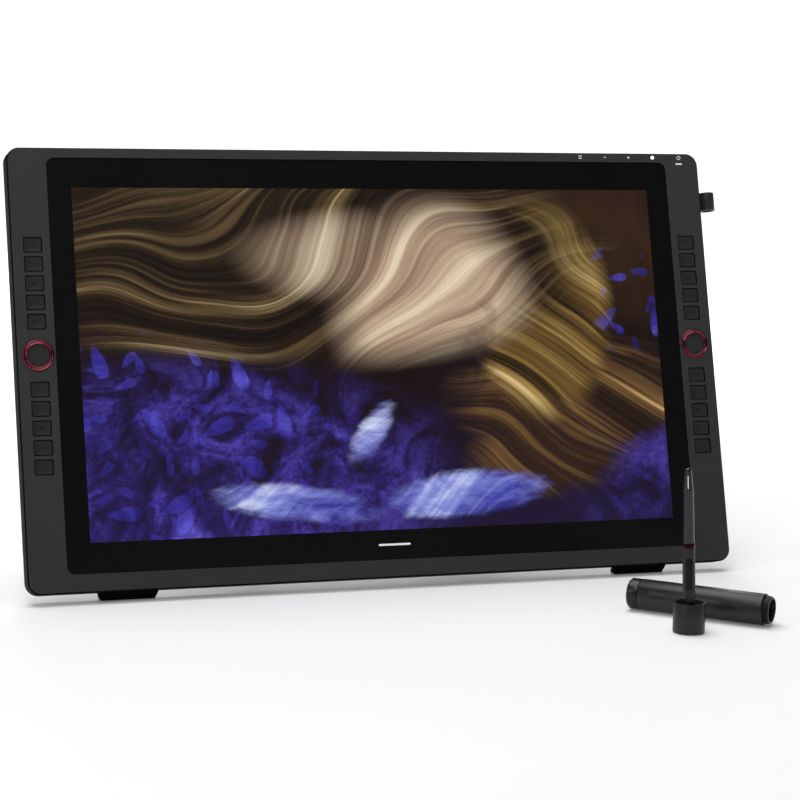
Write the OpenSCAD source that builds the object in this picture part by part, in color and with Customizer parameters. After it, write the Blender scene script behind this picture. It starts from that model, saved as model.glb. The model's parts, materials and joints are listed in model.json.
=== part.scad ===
// Pen drawing tablet: a pen display on a folding rear leg, with its pen, pen stand and pen case.
// Row frame: millimetres, +Z up, the table is z = 0, the screen faces -Y.
// Panel space, used by the display's own parts: x to the right, y into the display from its
// face, z up the face, with its origin at the centre of the face.

/* [Display] */
// Width of the display's face
face_w = 571.8; // [476:0.1:700]
// Height of the display's face
face_h = 334.7; // [290:0.1:410]
// Corner radius of the face
face_r = 10; // [6:0.5:20]
// Thickness of the display at its edge
edge_t = 17.5; // [17.5:0.5:26]
// Wall of the casings
wall = 2; // [1.6:0.1:2.6]
// Bezel to the left and right of the cover glass
side_bezel = 29.95; // [28:0.05:40]
// Bezel above the cover glass
top_bezel = 7.85; // [7.8:0.05:14]
// Bezel below the cover glass
bottom_bezel = 14.1; // [13:0.05:24]
// Corner radius of the cover glass
glass_r = 6; // [3:0.5:10]
// Thickness of the cover glass
glass_t = 2; // [1.6:0.1:2.6]
// Black border at the left and right of the picture
picture_border_x = 17.95; // [12:0.05:24]
// Black border above and below the picture
picture_border_z = 22.5; // [12:0.05:28]
// Lean of the display back from upright, in degrees
tilt = 16; // [10:1:28]

/* [Electronics cover] */
// Width of the cover over the electronics
hump_w = 300; // [250:1:360]
// Height of the cover over the electronics
hump_h = 220; // [214:1:250]
// How far the cover stands out from the rear casing
hump_t = 8.5; // [8.5:0.5:14]
// Spacing of the wall-mount inserts, each way
vesa_pitch = 75; // [70:1:80]

/* [Keys and dials] */
// Width of a key's opening
key_w = 14.5; // [12:0.1:17.5]
// Height of a key's opening
key_h = 11.8; // [9.5:0.1:12.2]
// Distance from one key to the next
key_pitch = 14.5; // [14.2:0.1:18]
// Clearance round a key in its opening
key_gap = 0.3; // [0.2:0.05:0.4]
// Distance from the dial's centre to the nearest key's centre
key_first = 25.4; // [23:0.1:32]
// How far a key goes in
key_travel = 1; // [0.6:0.1:1.2]
// Outer diameter of a dial ring
dial_d = 23.6; // [18:0.1:23.6]
// Bore of a dial ring
dial_bore_d = 17.2; // [12:0.1:17.2]
// Height of the dials above the centre of the face
dial_z = 9.8; // [-10:0.1:20]

/* [Stand] */
// Length of the leg from its pivot to the middle of its rubber foot
leg_l = 180; // [176:1:216]
// Thickness of the leg
leg_t = 8; // [6:0.5:9]
// Half of the leg's width at its pivot
leg_half_top = 96; // [94:1:110]
// Half of the leg's width at its foot
leg_half_foot = 112; // [100:1:130]
// Radius of the leg's rubber foot
leg_foot_r = 6.5; // [5.5:0.5:8]
// Height of the pivot above the face's bottom edge
pivot_h = 187.35; // [180:0.05:192]
// Radius of the hinge pins
pin_r = 3; // [2.5:0.1:3.4]
// Running clearance of the leg on its pins
pin_gap = 0.06; // [0.02:0.01:0.1]

/* [Pen] */
// Height of the pen's end above the table, with the pen in its stand
pen_top = 120; // [110:1:150]
// Largest diameter of the pen
pen_d = 9.2; // [9:0.1:11.1]
// Diameter of the pen's tail
tail_d = 8; // [6.6:0.1:8.6]
// Lean of the pen to the left in its stand, in degrees
pen_lean = 2.8; // [0:0.1:4]

/* [Pen stand and case] */
// Diameter of the pen stand and of the case that it closes
case_d = 23.4; // [21:0.1:30]
// Height of the pen stand
cup_h = 22; // [20:0.5:28]
// Length of the case's outer tube
case_l = 96.5; // [94:0.5:130]
// Bore of the case's liner
liner_d = 17; // [13:0.1:17.4]
// Place of the pen stand to the right of the display's centre
cup_x = 157; // [120:1:200]
// Place of the pen stand in front of the display's feet
cup_out = 195; // [150:1:240]
// Turn of the case on the table, in degrees clockwise from the display's width
case_turn = 46; // [20:1:50]

/* [Hidden] */
$fn = 64;
sides = [-1, 1];
groups = [1, -1];
eps = 0.01;

// Face and casings
face_wall = wall;
edge_round = 1.2;
split_y = 8;
rear_round = 4;
glass_w = face_w - 2 * side_bezel;
glass_h = face_h - top_bezel - bottom_bezel;
glass_z = (bottom_bezel - top_bezel) / 2;
glass_gap = 0.25;
glass_front = 0.5;
glass_back = glass_front + glass_t;
rib_t = 1.3;
ledge_w = 6;
ledge_t = 1.2;

// Layers behind the cover glass, each against the one before
picture_w = glass_w - 2 * picture_border_x;
picture_h = glass_h - 2 * picture_border_z;
stack_w = glass_w - 2 * ledge_w - 4;
stack_h = glass_h - 2 * ledge_w - 8;
lcd_back = glass_back + 1.8;
backlight_back = lcd_back + 4;
sensor_back = backlight_back + 1.2;
chassis_back = sensor_back + 1.2;

// Casing screws
screw_r = 1.5;
screw_head_r = 3;
screw_head_t = 2;
screw_hole_r = 1.7;
screw_sink = 0.3;
boss_r = 4.2;
screw_x = face_w / 2 - wall - 8;
screw_z = face_h / 2 - wall - 13;
screw_low_z = -face_h / 2 + bottom_bezel / 2;
screw_low_x = 110;
screw_places = concat(
    [for (sx = sides, sz = sides) [sx * screw_x, sz * screw_z]],
    [for (sx = sides) [sx * screw_low_x, screw_low_z]]);

// Keys and dials
key_in = 1.5;
key_x = face_w / 2 - side_bezel / 2 - key_in;
key_sink = 0.25;
key_face_r = 1;
key_dish = 0.35;
key_flange = 0.4;
key_flange_t = 0.8;
key_play = 0.05;
key_flange_y = face_wall + key_play;
key_stem = 4;
key_stem_back = 5.2;
key_dot_r = 0.6;
keys_a_group = 5;
key_offsets = [for (g = groups, i = [0 : keys_a_group - 1])
    g > 0 ? key_first + (keys_a_group - 1 - i) * key_pitch : -key_first - i * key_pitch];
dotted_keys = [2, 7];
switch_gap = 0.1;
switch_front = key_stem_back + key_travel + switch_gap;
switch_side = 5;
switch_t = 1.3;
key_board_front = switch_front + switch_t;
key_board_t = 1.6;
key_board_w = 19;
pivot_z = pivot_h - face_h / 2;
key_board_h = 2 * (key_first + keys_a_group * key_pitch);
dial_gap = 0.25;
dial_proud = 0.9;
dial_lip = 0.6;
dial_flange_y = face_wall + 0.3;
dial_flange_t = 1;
dial_run = 0.08;
hub_front = 0.15;
hub_flange_r = dial_d / 2 - 1.3;
hub_flange_t = 1;
hub_post_r = 4;

// Touch icons' board and the status light
touch_in = 60.9;
touch_x = face_w / 2 - touch_in;
touch_w = 102;
touch_z = face_h / 2 - (wall + top_bezel - glass_gap - rib_t) / 2;
light_in = 17;
light_drop = 8.65;
light_x = face_w / 2 - light_in;
light_z = face_h / 2 - light_drop;
light_w = 5.8;
light_h = 1.3;
light_front = 0.05;
light_back = 3.2;

// Electronics cover and boards
hump_z = pivot_z - 25;
hump_r = 10;
hump_round = 2.5;
hump_y = edge_t + hump_t;
hump_flange = 4;
hump_inner_y = hump_y - wall;
socket_t = 5;
socket_y = hump_inner_y - 0.4 - socket_t / 2;
board_t = 1.6;
board_back = socket_y - socket_t / 2;
board_front = board_back - board_t;
board_left = -70;
board_right = hump_w / 2 - hump_flange - 0.3;
board_low = pivot_z - 98;
board_high = pivot_z + 32;
socket_right = hump_w / 2 - 0.4;
socket_gap = 0.3;
video_z = pivot_z - 56;
video_w = 15;
usb_zs = [pivot_z - 82, pivot_z - 32];
usb_w = 9;
usb_t = 3.2;
power_z = pivot_z - 6;
power_hole_r = 2.6;
vesa_z = pivot_z - 80;
insert_r = 3.5;
insert_bore_r = 2;
insert_l = 6.6;
vent_n = 14;
vent_w = 2.2;
vent_pitch = 5;
vent_h = 18;
vent_first = 34;
vent_top_z = hump_z + hump_h / 2 - wall - vent_h / 2 - 6;
vent_low_z = -face_h / 2 + 30;

// Feet and pads
foot_x = 209;
foot_w = 46;
foot_low_w = 41;
foot_y = 12;
foot_drop = 5.8;
foot_z = -face_h / 2 - foot_drop;
foot_top_y0 = split_y + 0.6;
foot_top_y1 = edge_t - rear_round - 0.3;
foot_back_y = foot_y + 9;
pad_w = 34;
pad_h = 9;
pad_t = 1.8;
pad_x = face_w / 2 - 46;
pad_z = face_h / 2 - 24;

// Hinge
barrel_r = 6;
pivot_y = hump_y + 9;
bracket_t = 3;
bracket_w = 196;
bracket_low = pivot_z - 13;
bracket_high = pivot_z + 28;
lug_w = 7;
lug_in_x = 52;
lug_out_x = 85;
washer_t = 1.2;
washer_gap = 0.1;
lug_gap = 0.02;
pin_head_r = 4.6;
pin_head_t = 1.6;
bracket_screw_xs = [-74, -30, 30, 74];
bracket_screw_z = pivot_z + 19;
bracket_screw_l = 8;
leg_rail = 30;
leg_top_bar = 20;
leg_low_bar = 24;
leg_corner_r = 9;
leg_top = barrel_r + 2;
leg_foot_half = 98;
leg_recess = 1.4;

// Pen holder on the display's right edge
holder_drop = 38.05;
holder_z = face_h / 2 - holder_drop;
holder_h = 14.6;
holder_wall = 2;
holder_neck = 4.9;
holder_bore_r = tail_d / 2 + 0.4;
holder_r = holder_bore_r + holder_wall;
holder_y = 12.2;
holder_x = face_w / 2 + holder_r + holder_neck;
holder_gap = 0.15;
holder_foot_t = 2.2;
holder_foot_h = 16.6;
tongue_l = 5;
tongue_t = 3.4;
tongue_h = 10;

// Pen, measured up from the table as it stands in the pen stand
pen_turn = -24;
lean_turn = -20;
pen_tip = 6;
nib_r = 0.8;
nib_l = 15;
nib_gap = 0.06;
nose_low = pen_tip + 2.6;
nose_r = 1.7;
grip_low = 19;
grip_full = 28;
band_low = 62;
band_h = 3.4;
band_r = pen_d / 2 + 0.05;
grip_top_r = pen_d / 2 - 0.1;
tail_low_r = min(tail_d / 2 + 0.3, grip_top_r);
tail_high = pen_top - 17;
tail_end_r = 2.5;
spine_r = 1.8;
spine_top = band_low + band_h - 6;
rocker_low = 32;
rocker_high = 54;
rocker_w = 4.2;
rocker_gap = 0.25;
rocker_depth = 1.2;
rocker_proud = 0.45;
spine_bore_r = spine_r + 0.1;
rocker_pocket = pen_d / 2 - spine_bore_r - 0.45;
rocker_pivot_z = (rocker_low + rocker_high) / 2;
rocker_pivot_r = spine_bore_r + 1;
rocker_pin_r = 0.45;
rocker_lug = 1.6;

// Pen stand
cup_wall = 1.6;
cup_floor = 1.6;
cup_inner_r = case_d / 2 - cup_wall;
insert_top = cup_h - 3.4;
insert_collar_h = 1.2;
socket_play = 0.35;
seat_z = 12;
seat_r = nose_r + (pen_d / 2 - 0.4 - nose_r) * (seat_z - nose_low) / (grip_low - nose_low) + 0.3;
nib_clear = 2.5;

// Pen case, along its own axis from its closed end
case_cap_l = 9;
case_cap_spigot = 6;
case_tube_wall = 1.6;
case_inner_r = case_d / 2 - case_tube_wall;
liner_r = case_inner_r - 0.1;
liner_out = 4.6;
liner_floor = 14;
liner_floor_t = 2;
thread_r = liner_r - 0.35;
thread_lip = 0.3;
thread_pitch = 1.3;
threads = 3;
nib_spare_n = 6;
nib_spare_r = 0.8;
case_x = 148.5;
case_out = 114;

// Where panel space stands in the row frame
floor_to_pivot_y = (pivot_y - foot_y) * cos(tilt) + (pivot_z - foot_z) * sin(tilt);
floor_to_pivot_z = (pivot_z - foot_z) * cos(tilt) - (pivot_y - foot_y) * sin(tilt);
leg_angle = acos((floor_to_pivot_z - leg_foot_r) / leg_l);
row_back = floor_to_pivot_y + leg_l * sin(leg_angle) + leg_foot_r;
row_front = -max(cup_out + case_d / 2,
    case_out + (case_cap_l + case_l) * sin(case_turn) + case_d / 2 * cos(case_turn),
    case_out + (case_cap_l + case_l + liner_out) * sin(case_turn) + (thread_r + thread_lip) * cos(case_turn));
row_x = -(holder_x + holder_r - face_w / 2) / 2;
row_y = -(row_back + row_front) / 2;

// ---------- shared shapes ----------

// A rectangle with true round corners, centred.
module round_rect(w, h, r) {
    square([w - 2 * r, h], center = true);
    square([w, h - 2 * r], center = true);
    for (sx = sides, sy = sides)
        translate([sx * (w / 2 - r), sy * (h / 2 - r)]) circle(r);
}

// A plate across panel space from depth y0 to depth y1, with true round corners.
module slab(w, h, r, y0, y1) {
    translate([0, y1, 0]) rotate([90, 0, 0]) linear_extrude(y1 - y0) round_rect(w, h, r);
}

// A sloped edge from a w by h plate at depth y0 to one smaller by inset all round at depth y1.
module sloped(w, h, r, inset, y0, y1) {
    thin = y1 > y0 ? 0.02 : -0.02;
    hull() {
        slab(w, h, r, min(y0, y0 + thin), max(y0, y0 + thin));
        slab(w - 2 * inset, h - 2 * inset, r - inset, min(y1, y1 - thin), max(y1, y1 - thin));
    }
}

// A bar or hole through panel space along its depth, from y0 to y1.
module rod(r, y0, y1) {
    translate([0, y0, 0]) rotate([-90, 0, 0]) cylinder(r = r, h = y1 - y0);
}

// A box with its middle at x, z and running from depth y0 to depth y1.
module block(w, h, y0, y1) {
    translate([-w / 2, y0, -h / 2]) cube([w, y1 - y0, h]);
}

// A bar along x from x0 to x1.
module bar_x(r, x0, x1) {
    translate([x0, 0, 0]) rotate([0, 90, 0]) cylinder(r = r, h = x1 - x0);
}

// Puts panel space into the row frame: leaning back, its feet on the table.
module on_panel() {
    translate([row_x, row_y, 0]) rotate([-tilt, 0, 0]) translate([0, -foot_y, -foot_z]) children();
}

// Puts the leg's own space, with its pivot at the origin and the leg along -z, into the row frame.
module on_leg() {
    translate([row_x, row_y + floor_to_pivot_y, floor_to_pivot_z]) rotate([leg_angle, 0, 0])
        children();
}

// Puts the pen stand's space, with its axis on z and the table at z = 0, into the row frame.
module on_cup() {
    translate([row_x + cup_x, row_y - cup_out, 0]) rotate([0, 0, pen_turn]) children();
}

// Puts the pen's space into the row frame: as its stand's, but leaning about the seat of its nose.
module on_pen() {
    translate([row_x + cup_x, row_y - cup_out, seat_z]) rotate([0, 0, lean_turn])
        rotate([0, -pen_lean, 0]) rotate([0, 0, pen_turn - lean_turn]) translate([0, 0, -seat_z])
        children();
}

// Puts the case's space, with its axis on x and its closed end near x = 0, on the table.
module on_case() {
    translate([row_x + case_x, row_y - case_out, case_d / 2]) rotate([0, 0, -case_turn])
        children();
}

// ---------- display casings ----------

module front_frame() {
    opening_w = glass_w + 2 * glass_gap;
    opening_h = glass_h + 2 * glass_gap;
    opening_r = glass_r + glass_gap;
    color("#343536") on_panel() difference() {
        union() {
            sloped(face_w, face_h, face_r, edge_round, edge_round, 0);
            slab(face_w, face_h, face_r, edge_round, split_y);
        }
        difference() {
            slab(face_w - 2 * wall, face_h - 2 * wall, face_r - wall, face_wall, split_y + 1);
            translate([0, 0, glass_z])
                slab(opening_w + 2 * rib_t, opening_h + 2 * rib_t, opening_r + rib_t,
                    0, glass_back + ledge_t);
            for (p = screw_places) translate([p[0], 0, p[1]]) rod(boss_r - 0.4, 0, split_y);
        }
        translate([0, 0, glass_z]) slab(opening_w, opening_h, opening_r, -1, glass_back);
        translate([0, 0, glass_z])
            slab(glass_w - 2 * ledge_w, glass_h - 2 * ledge_w, 2, 0, split_y + 2);
        for (sx = sides, z = key_offsets)
            translate([sx * key_x, 0, dial_z + z]) slab(key_w, key_h, key_face_r + key_gap, -1, 4);
        for (sx = sides) translate([sx * key_x, 0, dial_z]) {
            rod(dial_d / 2 + dial_gap, -1, 3);
            rod(dial_d / 2 + dial_lip + dial_gap, face_wall, split_y);
        }
        translate([light_x, 0, light_z]) block(light_w, light_h, -1, 3);
        for (p = screw_places)
            translate([p[0], 0, p[1]]) rod(screw_r + 0.02, face_wall + 0.9, split_y + 1);
    }
}

module rear_cover() {
    color("#1d1e20") on_panel() difference() {
        union() {
            difference() {
                union() {
                    slab(face_w, face_h, face_r, split_y, edge_t - rear_round);
                    sloped(face_w, face_h, face_r, rear_round, edge_t - rear_round, edge_t);
                }
                slab(face_w - 2 * wall, face_h - 2 * wall, face_r - wall,
                    split_y - 1, edge_t - rear_round - wall / 2);
                slab(face_w - 2 * (rear_round + wall), face_h - 2 * (rear_round + wall),
                    face_r - rear_round, split_y, edge_t - wall);
            }
            for (p = screw_places)
                translate([p[0], 0, p[1]]) rod(boss_r, split_y, edge_t - wall / 2);
        }
        translate([0, 0, hump_z])
            slab(hump_w - 2 * hump_flange, hump_h - 2 * hump_flange, hump_r - hump_flange,
                split_y, edge_t + 1);
        for (p = screw_places) translate([p[0], 0, p[1]]) {
            rod(screw_hole_r, split_y - 1, edge_t + 1);
            rod(screw_head_r + 0.2, edge_t - screw_head_t - screw_sink, edge_t + 1);
        }
        for (i = [0 : vent_n - 1], sx = sides)
            translate([sx * (vent_first + i * vent_pitch), 0, vent_low_z])
                block(vent_w, vent_h / 2, edge_t - wall - 1, edge_t + 1);
        translate([face_w / 2 - tongue_l / 2, holder_y, holder_z])
            cube([tongue_l + 1, tongue_t + 2 * holder_gap, tongue_h + 2 * holder_gap], center = true);
    }
}

module electronics_cover() {
    color("#17181a") on_panel() difference() {
        translate([0, 0, hump_z]) difference() {
            union() {
                slab(hump_w, hump_h, hump_r, edge_t, hump_y - hump_round);
                sloped(hump_w, hump_h, hump_r, hump_round, hump_y - hump_round, hump_y);
            }
            slab(hump_w - 2 * wall, hump_h - 2 * wall, hump_r - wall, edge_t - 1, hump_inner_y);
        }
        for (i = [0 : vent_n - 1], sx = sides)
            translate([sx * (vent_first + i * vent_pitch), 0, vent_top_z])
                block(vent_w, vent_h, hump_inner_y - 1, hump_y + 1);
        for (sx = sides, sz = sides)
            translate([sx * vesa_pitch / 2, 0, vesa_z + sz * vesa_pitch / 2])
                rod(insert_r, hump_inner_y - 1, hump_y + 1);
        for (x = bracket_screw_xs)
            translate([x, 0, bracket_screw_z]) rod(screw_r + 0.02, hump_inner_y - 1, hump_y + 1);
        translate([0, socket_y, 0]) {
            translate([hump_w / 2, 0, video_z])
                cube([6, socket_t - 0.2 + socket_gap, video_w + 2 * socket_gap], center = true);
            for (z = usb_zs) translate([hump_w / 2, 0, z])
                cube([6, usb_t + 2 * socket_gap, usb_w + 2 * socket_gap], center = true);
            translate([0, 0, power_z])
                bar_x(power_hole_r, hump_w / 2 - wall - 1, hump_w / 2 + 1);
        }
    }
}

module cover_glass() {
    color("#08090a") on_panel() translate([0, 0, glass_z])
        slab(glass_w, glass_h, glass_r, glass_front, glass_back);
}

// ---------- layers and boards inside ----------

module lcd_panel() {
    color("#2a2140") on_panel() translate([0, 0, glass_z])
        block(stack_w, stack_h, glass_back, lcd_back);
}

module backlight_unit() {
    color("#d8d8d2") on_panel() translate([0, 0, glass_z])
        block(stack_w - 2, stack_h - 2, lcd_back, backlight_back);
}

module sensor_board() {
    color("#1f5a38") on_panel() translate([0, 0, glass_z])
        block(stack_w - 6, stack_h - 6, backlight_back, sensor_back);
}

module chassis_plate() {
    post_r = 2.6;
    color("#9a9da0") on_panel() {
        translate([0, 0, glass_z]) difference() {
            block(stack_w + 6, stack_h + 6, sensor_back, chassis_back);
            for (sx = sides) translate([sx * stack_w / 3, 0, 0]) rod(18, sensor_back - 1, chassis_back + 1);
        }
        for (x = [board_left + 8, board_right - 8], z = [board_low + 8, board_high - 8])
            translate([x, 0, z]) rod(post_r, chassis_back - eps, board_front);
    }
}

module main_board() {
    mid_z = (board_low + board_high) / 2;
    chip_t = 1.3;
    color("#14603a") on_panel() {
        translate([(board_left + board_right) / 2, 0, mid_z])
            block(board_right - board_left, board_high - board_low, board_front, board_back);
        for (p = [[0, 18, 22, 12], [70, 88, 18, 18], [20, 92, 12, 9], [94, 34, 16, 16]])
            translate([p[0], 0, board_low + p[1]]) block(p[2], p[3], board_back, board_back + chip_t);
    }
}

module socket_shell(w, t, l, z, open_w, open_t) {
    translate([socket_right - l / 2, socket_y, z]) difference() {
        cube([l, t, w], center = true);
        translate([1, 0, 0]) cube([l, open_t, open_w], center = true);
    }
}

module video_socket() {
    color("#b9bcc0") on_panel() {
        socket_shell(video_w, socket_t - 0.2, 11, video_z, video_w - 1, socket_t - 1.2);
        translate([socket_right - 6, socket_y, video_z]) cube([10, 1, video_w - 4], center = true);
    }
}

module usb_sockets() {
    color("#c4c6c9") on_panel() for (z = usb_zs) {
        socket_shell(usb_w, usb_t, 8, z, usb_w - 0.8, usb_t - 0.8);
        translate([socket_right - 4.6, socket_y, z]) cube([6.8, 0.7, usb_w - 2.4], center = true);
    }
}

module power_socket() {
    color("#101112") on_panel() translate([0, socket_y, power_z]) {
        difference() {
            translate([socket_right - wall - 5.2, 0, 0])
                cube([9, socket_t - 0.1, 9], center = true);
            bar_x(power_hole_r, socket_right - 9, socket_right + 1);
        }
        bar_x(0.9, socket_right - 9.2, socket_right - 2);
    }
}

module key_boards() {
    color("#1a5c36") on_panel() {
        for (sx = sides) translate([sx * key_x, 0, dial_z]) {
            difference() {
                block(key_board_w, key_board_h, key_board_front, key_board_front + key_board_t);
                rod(1, key_board_front - 1, key_board_front + key_board_t + 1);
            }
            for (z = key_offsets) translate([0, 0, z])
                block(switch_side, switch_side, switch_front, key_board_front);
        }
        translate([touch_x, 0, touch_z])
            block(touch_w, 2.6, face_wall + 0.05, face_wall + 1.1);
    }
}

module dial_hubs() {
    color("#3a3b3c") on_panel() for (sx = sides) translate([sx * key_x, 0, dial_z]) {
        flange_y = dial_flange_y + dial_flange_t + dial_run;
        difference() {
            rod(dial_bore_d / 2 - dial_run, hub_front, flange_y);
            translate([0, hub_front - 59.7, 0]) sphere(r = 60, $fn = 180);
        }
        rod(hub_flange_r, flange_y, flange_y + hub_flange_t);
        rod(hub_post_r, flange_y + hub_flange_t, key_board_front);
    }
}

module status_light() {
    color("#f2f6ff") on_panel() translate([light_x, 0, light_z])
        block(light_w - 0.1, light_h - 0.1, light_front, light_back);
}

// ---------- feet, hinge and leg ----------

module front_feet() {
    color("#0b0b0c") on_panel() for (sx = sides) translate([sx * foot_x, 0, 0]) hull() {
        translate([-foot_w / 2, foot_top_y0, -face_h / 2 - 0.4])
            cube([foot_w, foot_top_y1 - foot_top_y0, 0.4]);
        translate([-foot_low_w / 2, 0, 0]) rotate([90, 0, 90]) linear_extrude(foot_low_w)
            polygon([[foot_y, foot_z], [foot_y, foot_z + 0.4],
                [foot_back_y, foot_z + 1 + (foot_back_y - foot_y) * tan(tilt)],
                [foot_back_y, foot_z + (foot_back_y - foot_y) * tan(tilt)]]);
    }
}

module rear_pads() {
    color("#0d0d0e") on_panel() for (sx = sides, sz = sides)
        translate([sx * pad_x, 0, sz * pad_z]) slab(pad_w, pad_h, pad_h / 2 - 0.1, edge_t, edge_t + pad_t);
}

module hinge_bracket() {
    color("#2a2c2e") on_panel() difference() {
        union() {
            translate([0, 0, (bracket_low + bracket_high) / 2])
                slab(bracket_w, bracket_high - bracket_low, 4, hump_y, hump_y + bracket_t);
            for (sx = sides, x = [lug_in_x, lug_out_x])
                translate([sx * (x + lug_w / 2), 0, pivot_z]) {
                    block(lug_w, 2 * barrel_r, hump_y + bracket_t - eps, pivot_y);
                    translate([0, pivot_y, 0]) bar_x(barrel_r, -lug_w / 2, lug_w / 2);
                }
        }
        for (sx = sides) translate([sx * (lug_in_x + lug_out_x + lug_w) / 2, pivot_y, pivot_z])
            bar_x(pin_r + lug_gap, -30, 30);
        for (x = bracket_screw_xs)
            translate([x, 0, bracket_screw_z]) rod(screw_hole_r, hump_y - 1, hump_y + bracket_t + 1);
    }
}

module hinge_pins() {
    color("#a8abae") on_panel() for (sx = sides) translate([0, pivot_y, pivot_z])
        mirror([sx < 0 ? 1 : 0, 0, 0]) {
            bar_x(pin_r, lug_in_x - 1.6, lug_out_x + lug_w + eps);
            bar_x(pin_head_r, lug_out_x + lug_w, lug_out_x + lug_w + pin_head_t);
            bar_x(pin_head_r - 0.6, lug_in_x - 1, lug_in_x);
        }
}

module friction_washers() {
    color("#8d8f92") on_panel() translate([0, pivot_y, pivot_z])
        for (sx = sides, x = [lug_in_x + lug_w, lug_out_x - washer_t])
            mirror([sx < 0 ? 1 : 0, 0, 0]) difference() {
                bar_x(barrel_r - 0.2, x, x + washer_t);
                bar_x(pin_r + lug_gap, x - 1, x + washer_t + 1);
            }
}

module screw(head_front, length) {
    difference() {
        rod(screw_head_r, head_front, head_front + screw_head_t);
        translate([0, head_front + screw_head_t - 1.1, 0]) rotate([-90, 0, 0]) cylinder(r = 1.3, h = 2, $fn = 6);
    }
    rod(screw_r, head_front - length, head_front);
}

module bracket_screws() {
    color("#b0b2b5") on_panel() for (x = bracket_screw_xs)
        translate([x, 0, bracket_screw_z]) screw(hump_y + bracket_t, bracket_screw_l);
}

module cover_screws() {
    head = edge_t - screw_head_t - screw_sink;
    color("#2b2c2e") on_panel() for (p = screw_places)
        translate([p[0], 0, p[1]]) screw(head, head - face_wall - 1.2);
}

module wall_mount_inserts() {
    color("#b8923e") on_panel() for (sx = sides, sz = sides)
        translate([sx * vesa_pitch / 2, 0, vesa_z + sz * vesa_pitch / 2]) difference() {
            rod(insert_r, hump_y - insert_l, hump_y);
            rod(insert_bore_r, hump_y - insert_l - 1, hump_y + 1);
        }
}

module leg_outline(half_top, half_foot, high, low, r, t0, t1) {
    hull() for (sx = sides) {
        translate([sx * (half_top - r), 0, -high - r]) rod(r, t0, t1);
        translate([sx * (half_foot - r), 0, -low + r]) rod(r, t0, t1);
    }
}

module stand_leg() {
    end = leg_l - 1;
    color("#222426") on_leg() difference() {
        union() {
            leg_outline(leg_half_top, leg_half_foot, leg_top, end, leg_corner_r,
                -leg_t / 2, leg_t / 2);
            for (sx = sides) mirror([sx < 0 ? 1 : 0, 0, 0]) {
                x0 = lug_in_x + lug_w + washer_t + washer_gap;
                x1 = lug_out_x - washer_t - washer_gap;
                bar_x(barrel_r, x0, x1);
                translate([x0, -leg_t / 2, -leg_top - 1]) cube([x1 - x0, leg_t, leg_top + 1]);
            }
        }
        leg_outline(leg_half_top - leg_rail, leg_half_foot - leg_rail,
            leg_top + leg_top_bar, end - leg_low_bar, leg_corner_r, -leg_t, leg_t);
        difference() {
            leg_outline(leg_half_top - 5, leg_half_foot - 5, leg_top + 4, end - 10,
                leg_corner_r - 3, leg_t / 2 - leg_recess, leg_t);
            leg_outline(leg_half_top - leg_rail + 5, leg_half_foot - leg_rail + 5,
                leg_top + leg_top_bar - 5, end - leg_low_bar + 5, leg_corner_r + 3, 0, leg_t + 1);
        }
        for (sx = sides) mirror([sx < 0 ? 1 : 0, 0, 0])
            bar_x(pin_r + pin_gap, lug_in_x, lug_out_x + lug_w);
    }
}

module leg_foot() {
    color("#0c0c0d") on_leg() difference() {
        translate([0, 0, -leg_l]) bar_x(leg_foot_r, -leg_foot_half, leg_foot_half);
        translate([-leg_foot_half - 1, -leg_t / 2, -leg_l + 1])
            cube([2 * leg_foot_half + 2, leg_t, leg_foot_r + 1]);
    }
}

// ---------- keys, dials and pen holder ----------

module key(side, i) {
    dish_r = pow(key_h - 2 * key_gap, 2) / (8 * key_dish);
    color("#303132") on_panel() translate([side * key_x, 0, dial_z + key_offsets[i]]) {
        difference() {
            slab(key_w - 2 * key_gap, key_h - 2 * key_gap, key_face_r, key_sink, key_flange_y + eps);
            translate([0, key_sink + key_dish - dish_r, 0]) bar_x(dish_r, -key_w, key_w, $fn = 200);
        }
        slab(key_w + 2 * key_flange, key_h + 2 * key_flange, 1, key_flange_y, key_flange_y + key_flange_t);
        block(key_stem, key_stem, key_flange_y + key_flange_t - eps, key_stem_back);
        if (len(search(i, dotted_keys)) > 0)
            rod(key_dot_r, key_sink + 0.1, key_flange_y);
    }
}

module dial_ring(side) {
    inner = dial_bore_d / 2;
    outer = dial_d / 2;
    bead = (outer - inner) / 2;
    color("#a01228") on_panel() translate([side * key_x, 0, dial_z]) rotate([-90, 0, 0]) {
        rotate_extrude($fn = 128) translate([inner + bead, bead - dial_proud]) circle(bead);
        difference() {
            union() {
                translate([0, 0, bead - dial_proud])
                    cylinder(r = outer, h = dial_flange_y + dial_flange_t - bead + dial_proud, $fn = 128);
                translate([0, 0, dial_flange_y])
                    cylinder(r = outer + dial_lip, h = dial_flange_t, $fn = 128);
            }
            translate([0, 0, -5]) cylinder(r = inner, h = 20, $fn = 128);
        }
    }
}

module pen_holder() {
    foot_x0 = face_w / 2 + holder_gap;
    color("#1e1f21") on_panel() difference() {
        union() {
            translate([holder_x, holder_y, holder_z - holder_h / 2])
                cylinder(r = holder_r, h = holder_h, $fn = 96);
            translate([foot_x0, holder_y - 4, holder_z - holder_foot_h / 2])
                cube([holder_foot_t, 8.4, holder_foot_h]);
            translate([foot_x0, holder_y - 2.4, holder_z - holder_h / 2 + 0.8])
                cube([holder_x - foot_x0, 5.2, holder_h - 1.6]);
            translate([face_w / 2 - tongue_l, holder_y - tongue_t / 2, holder_z - tongue_h / 2])
                cube([tongue_l + 1, tongue_t, tongue_h]);
        }
        translate([holder_x, holder_y, holder_z - holder_foot_h])
            cylinder(r = holder_bore_r, h = 2 * holder_foot_h, $fn = 96);
    }
}

// ---------- pen ----------

module ring_cone(z0, r0, z1, r1) {
    translate([0, 0, z0]) cylinder(r1 = r0, r2 = r1, h = z1 - z0);
}

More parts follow.
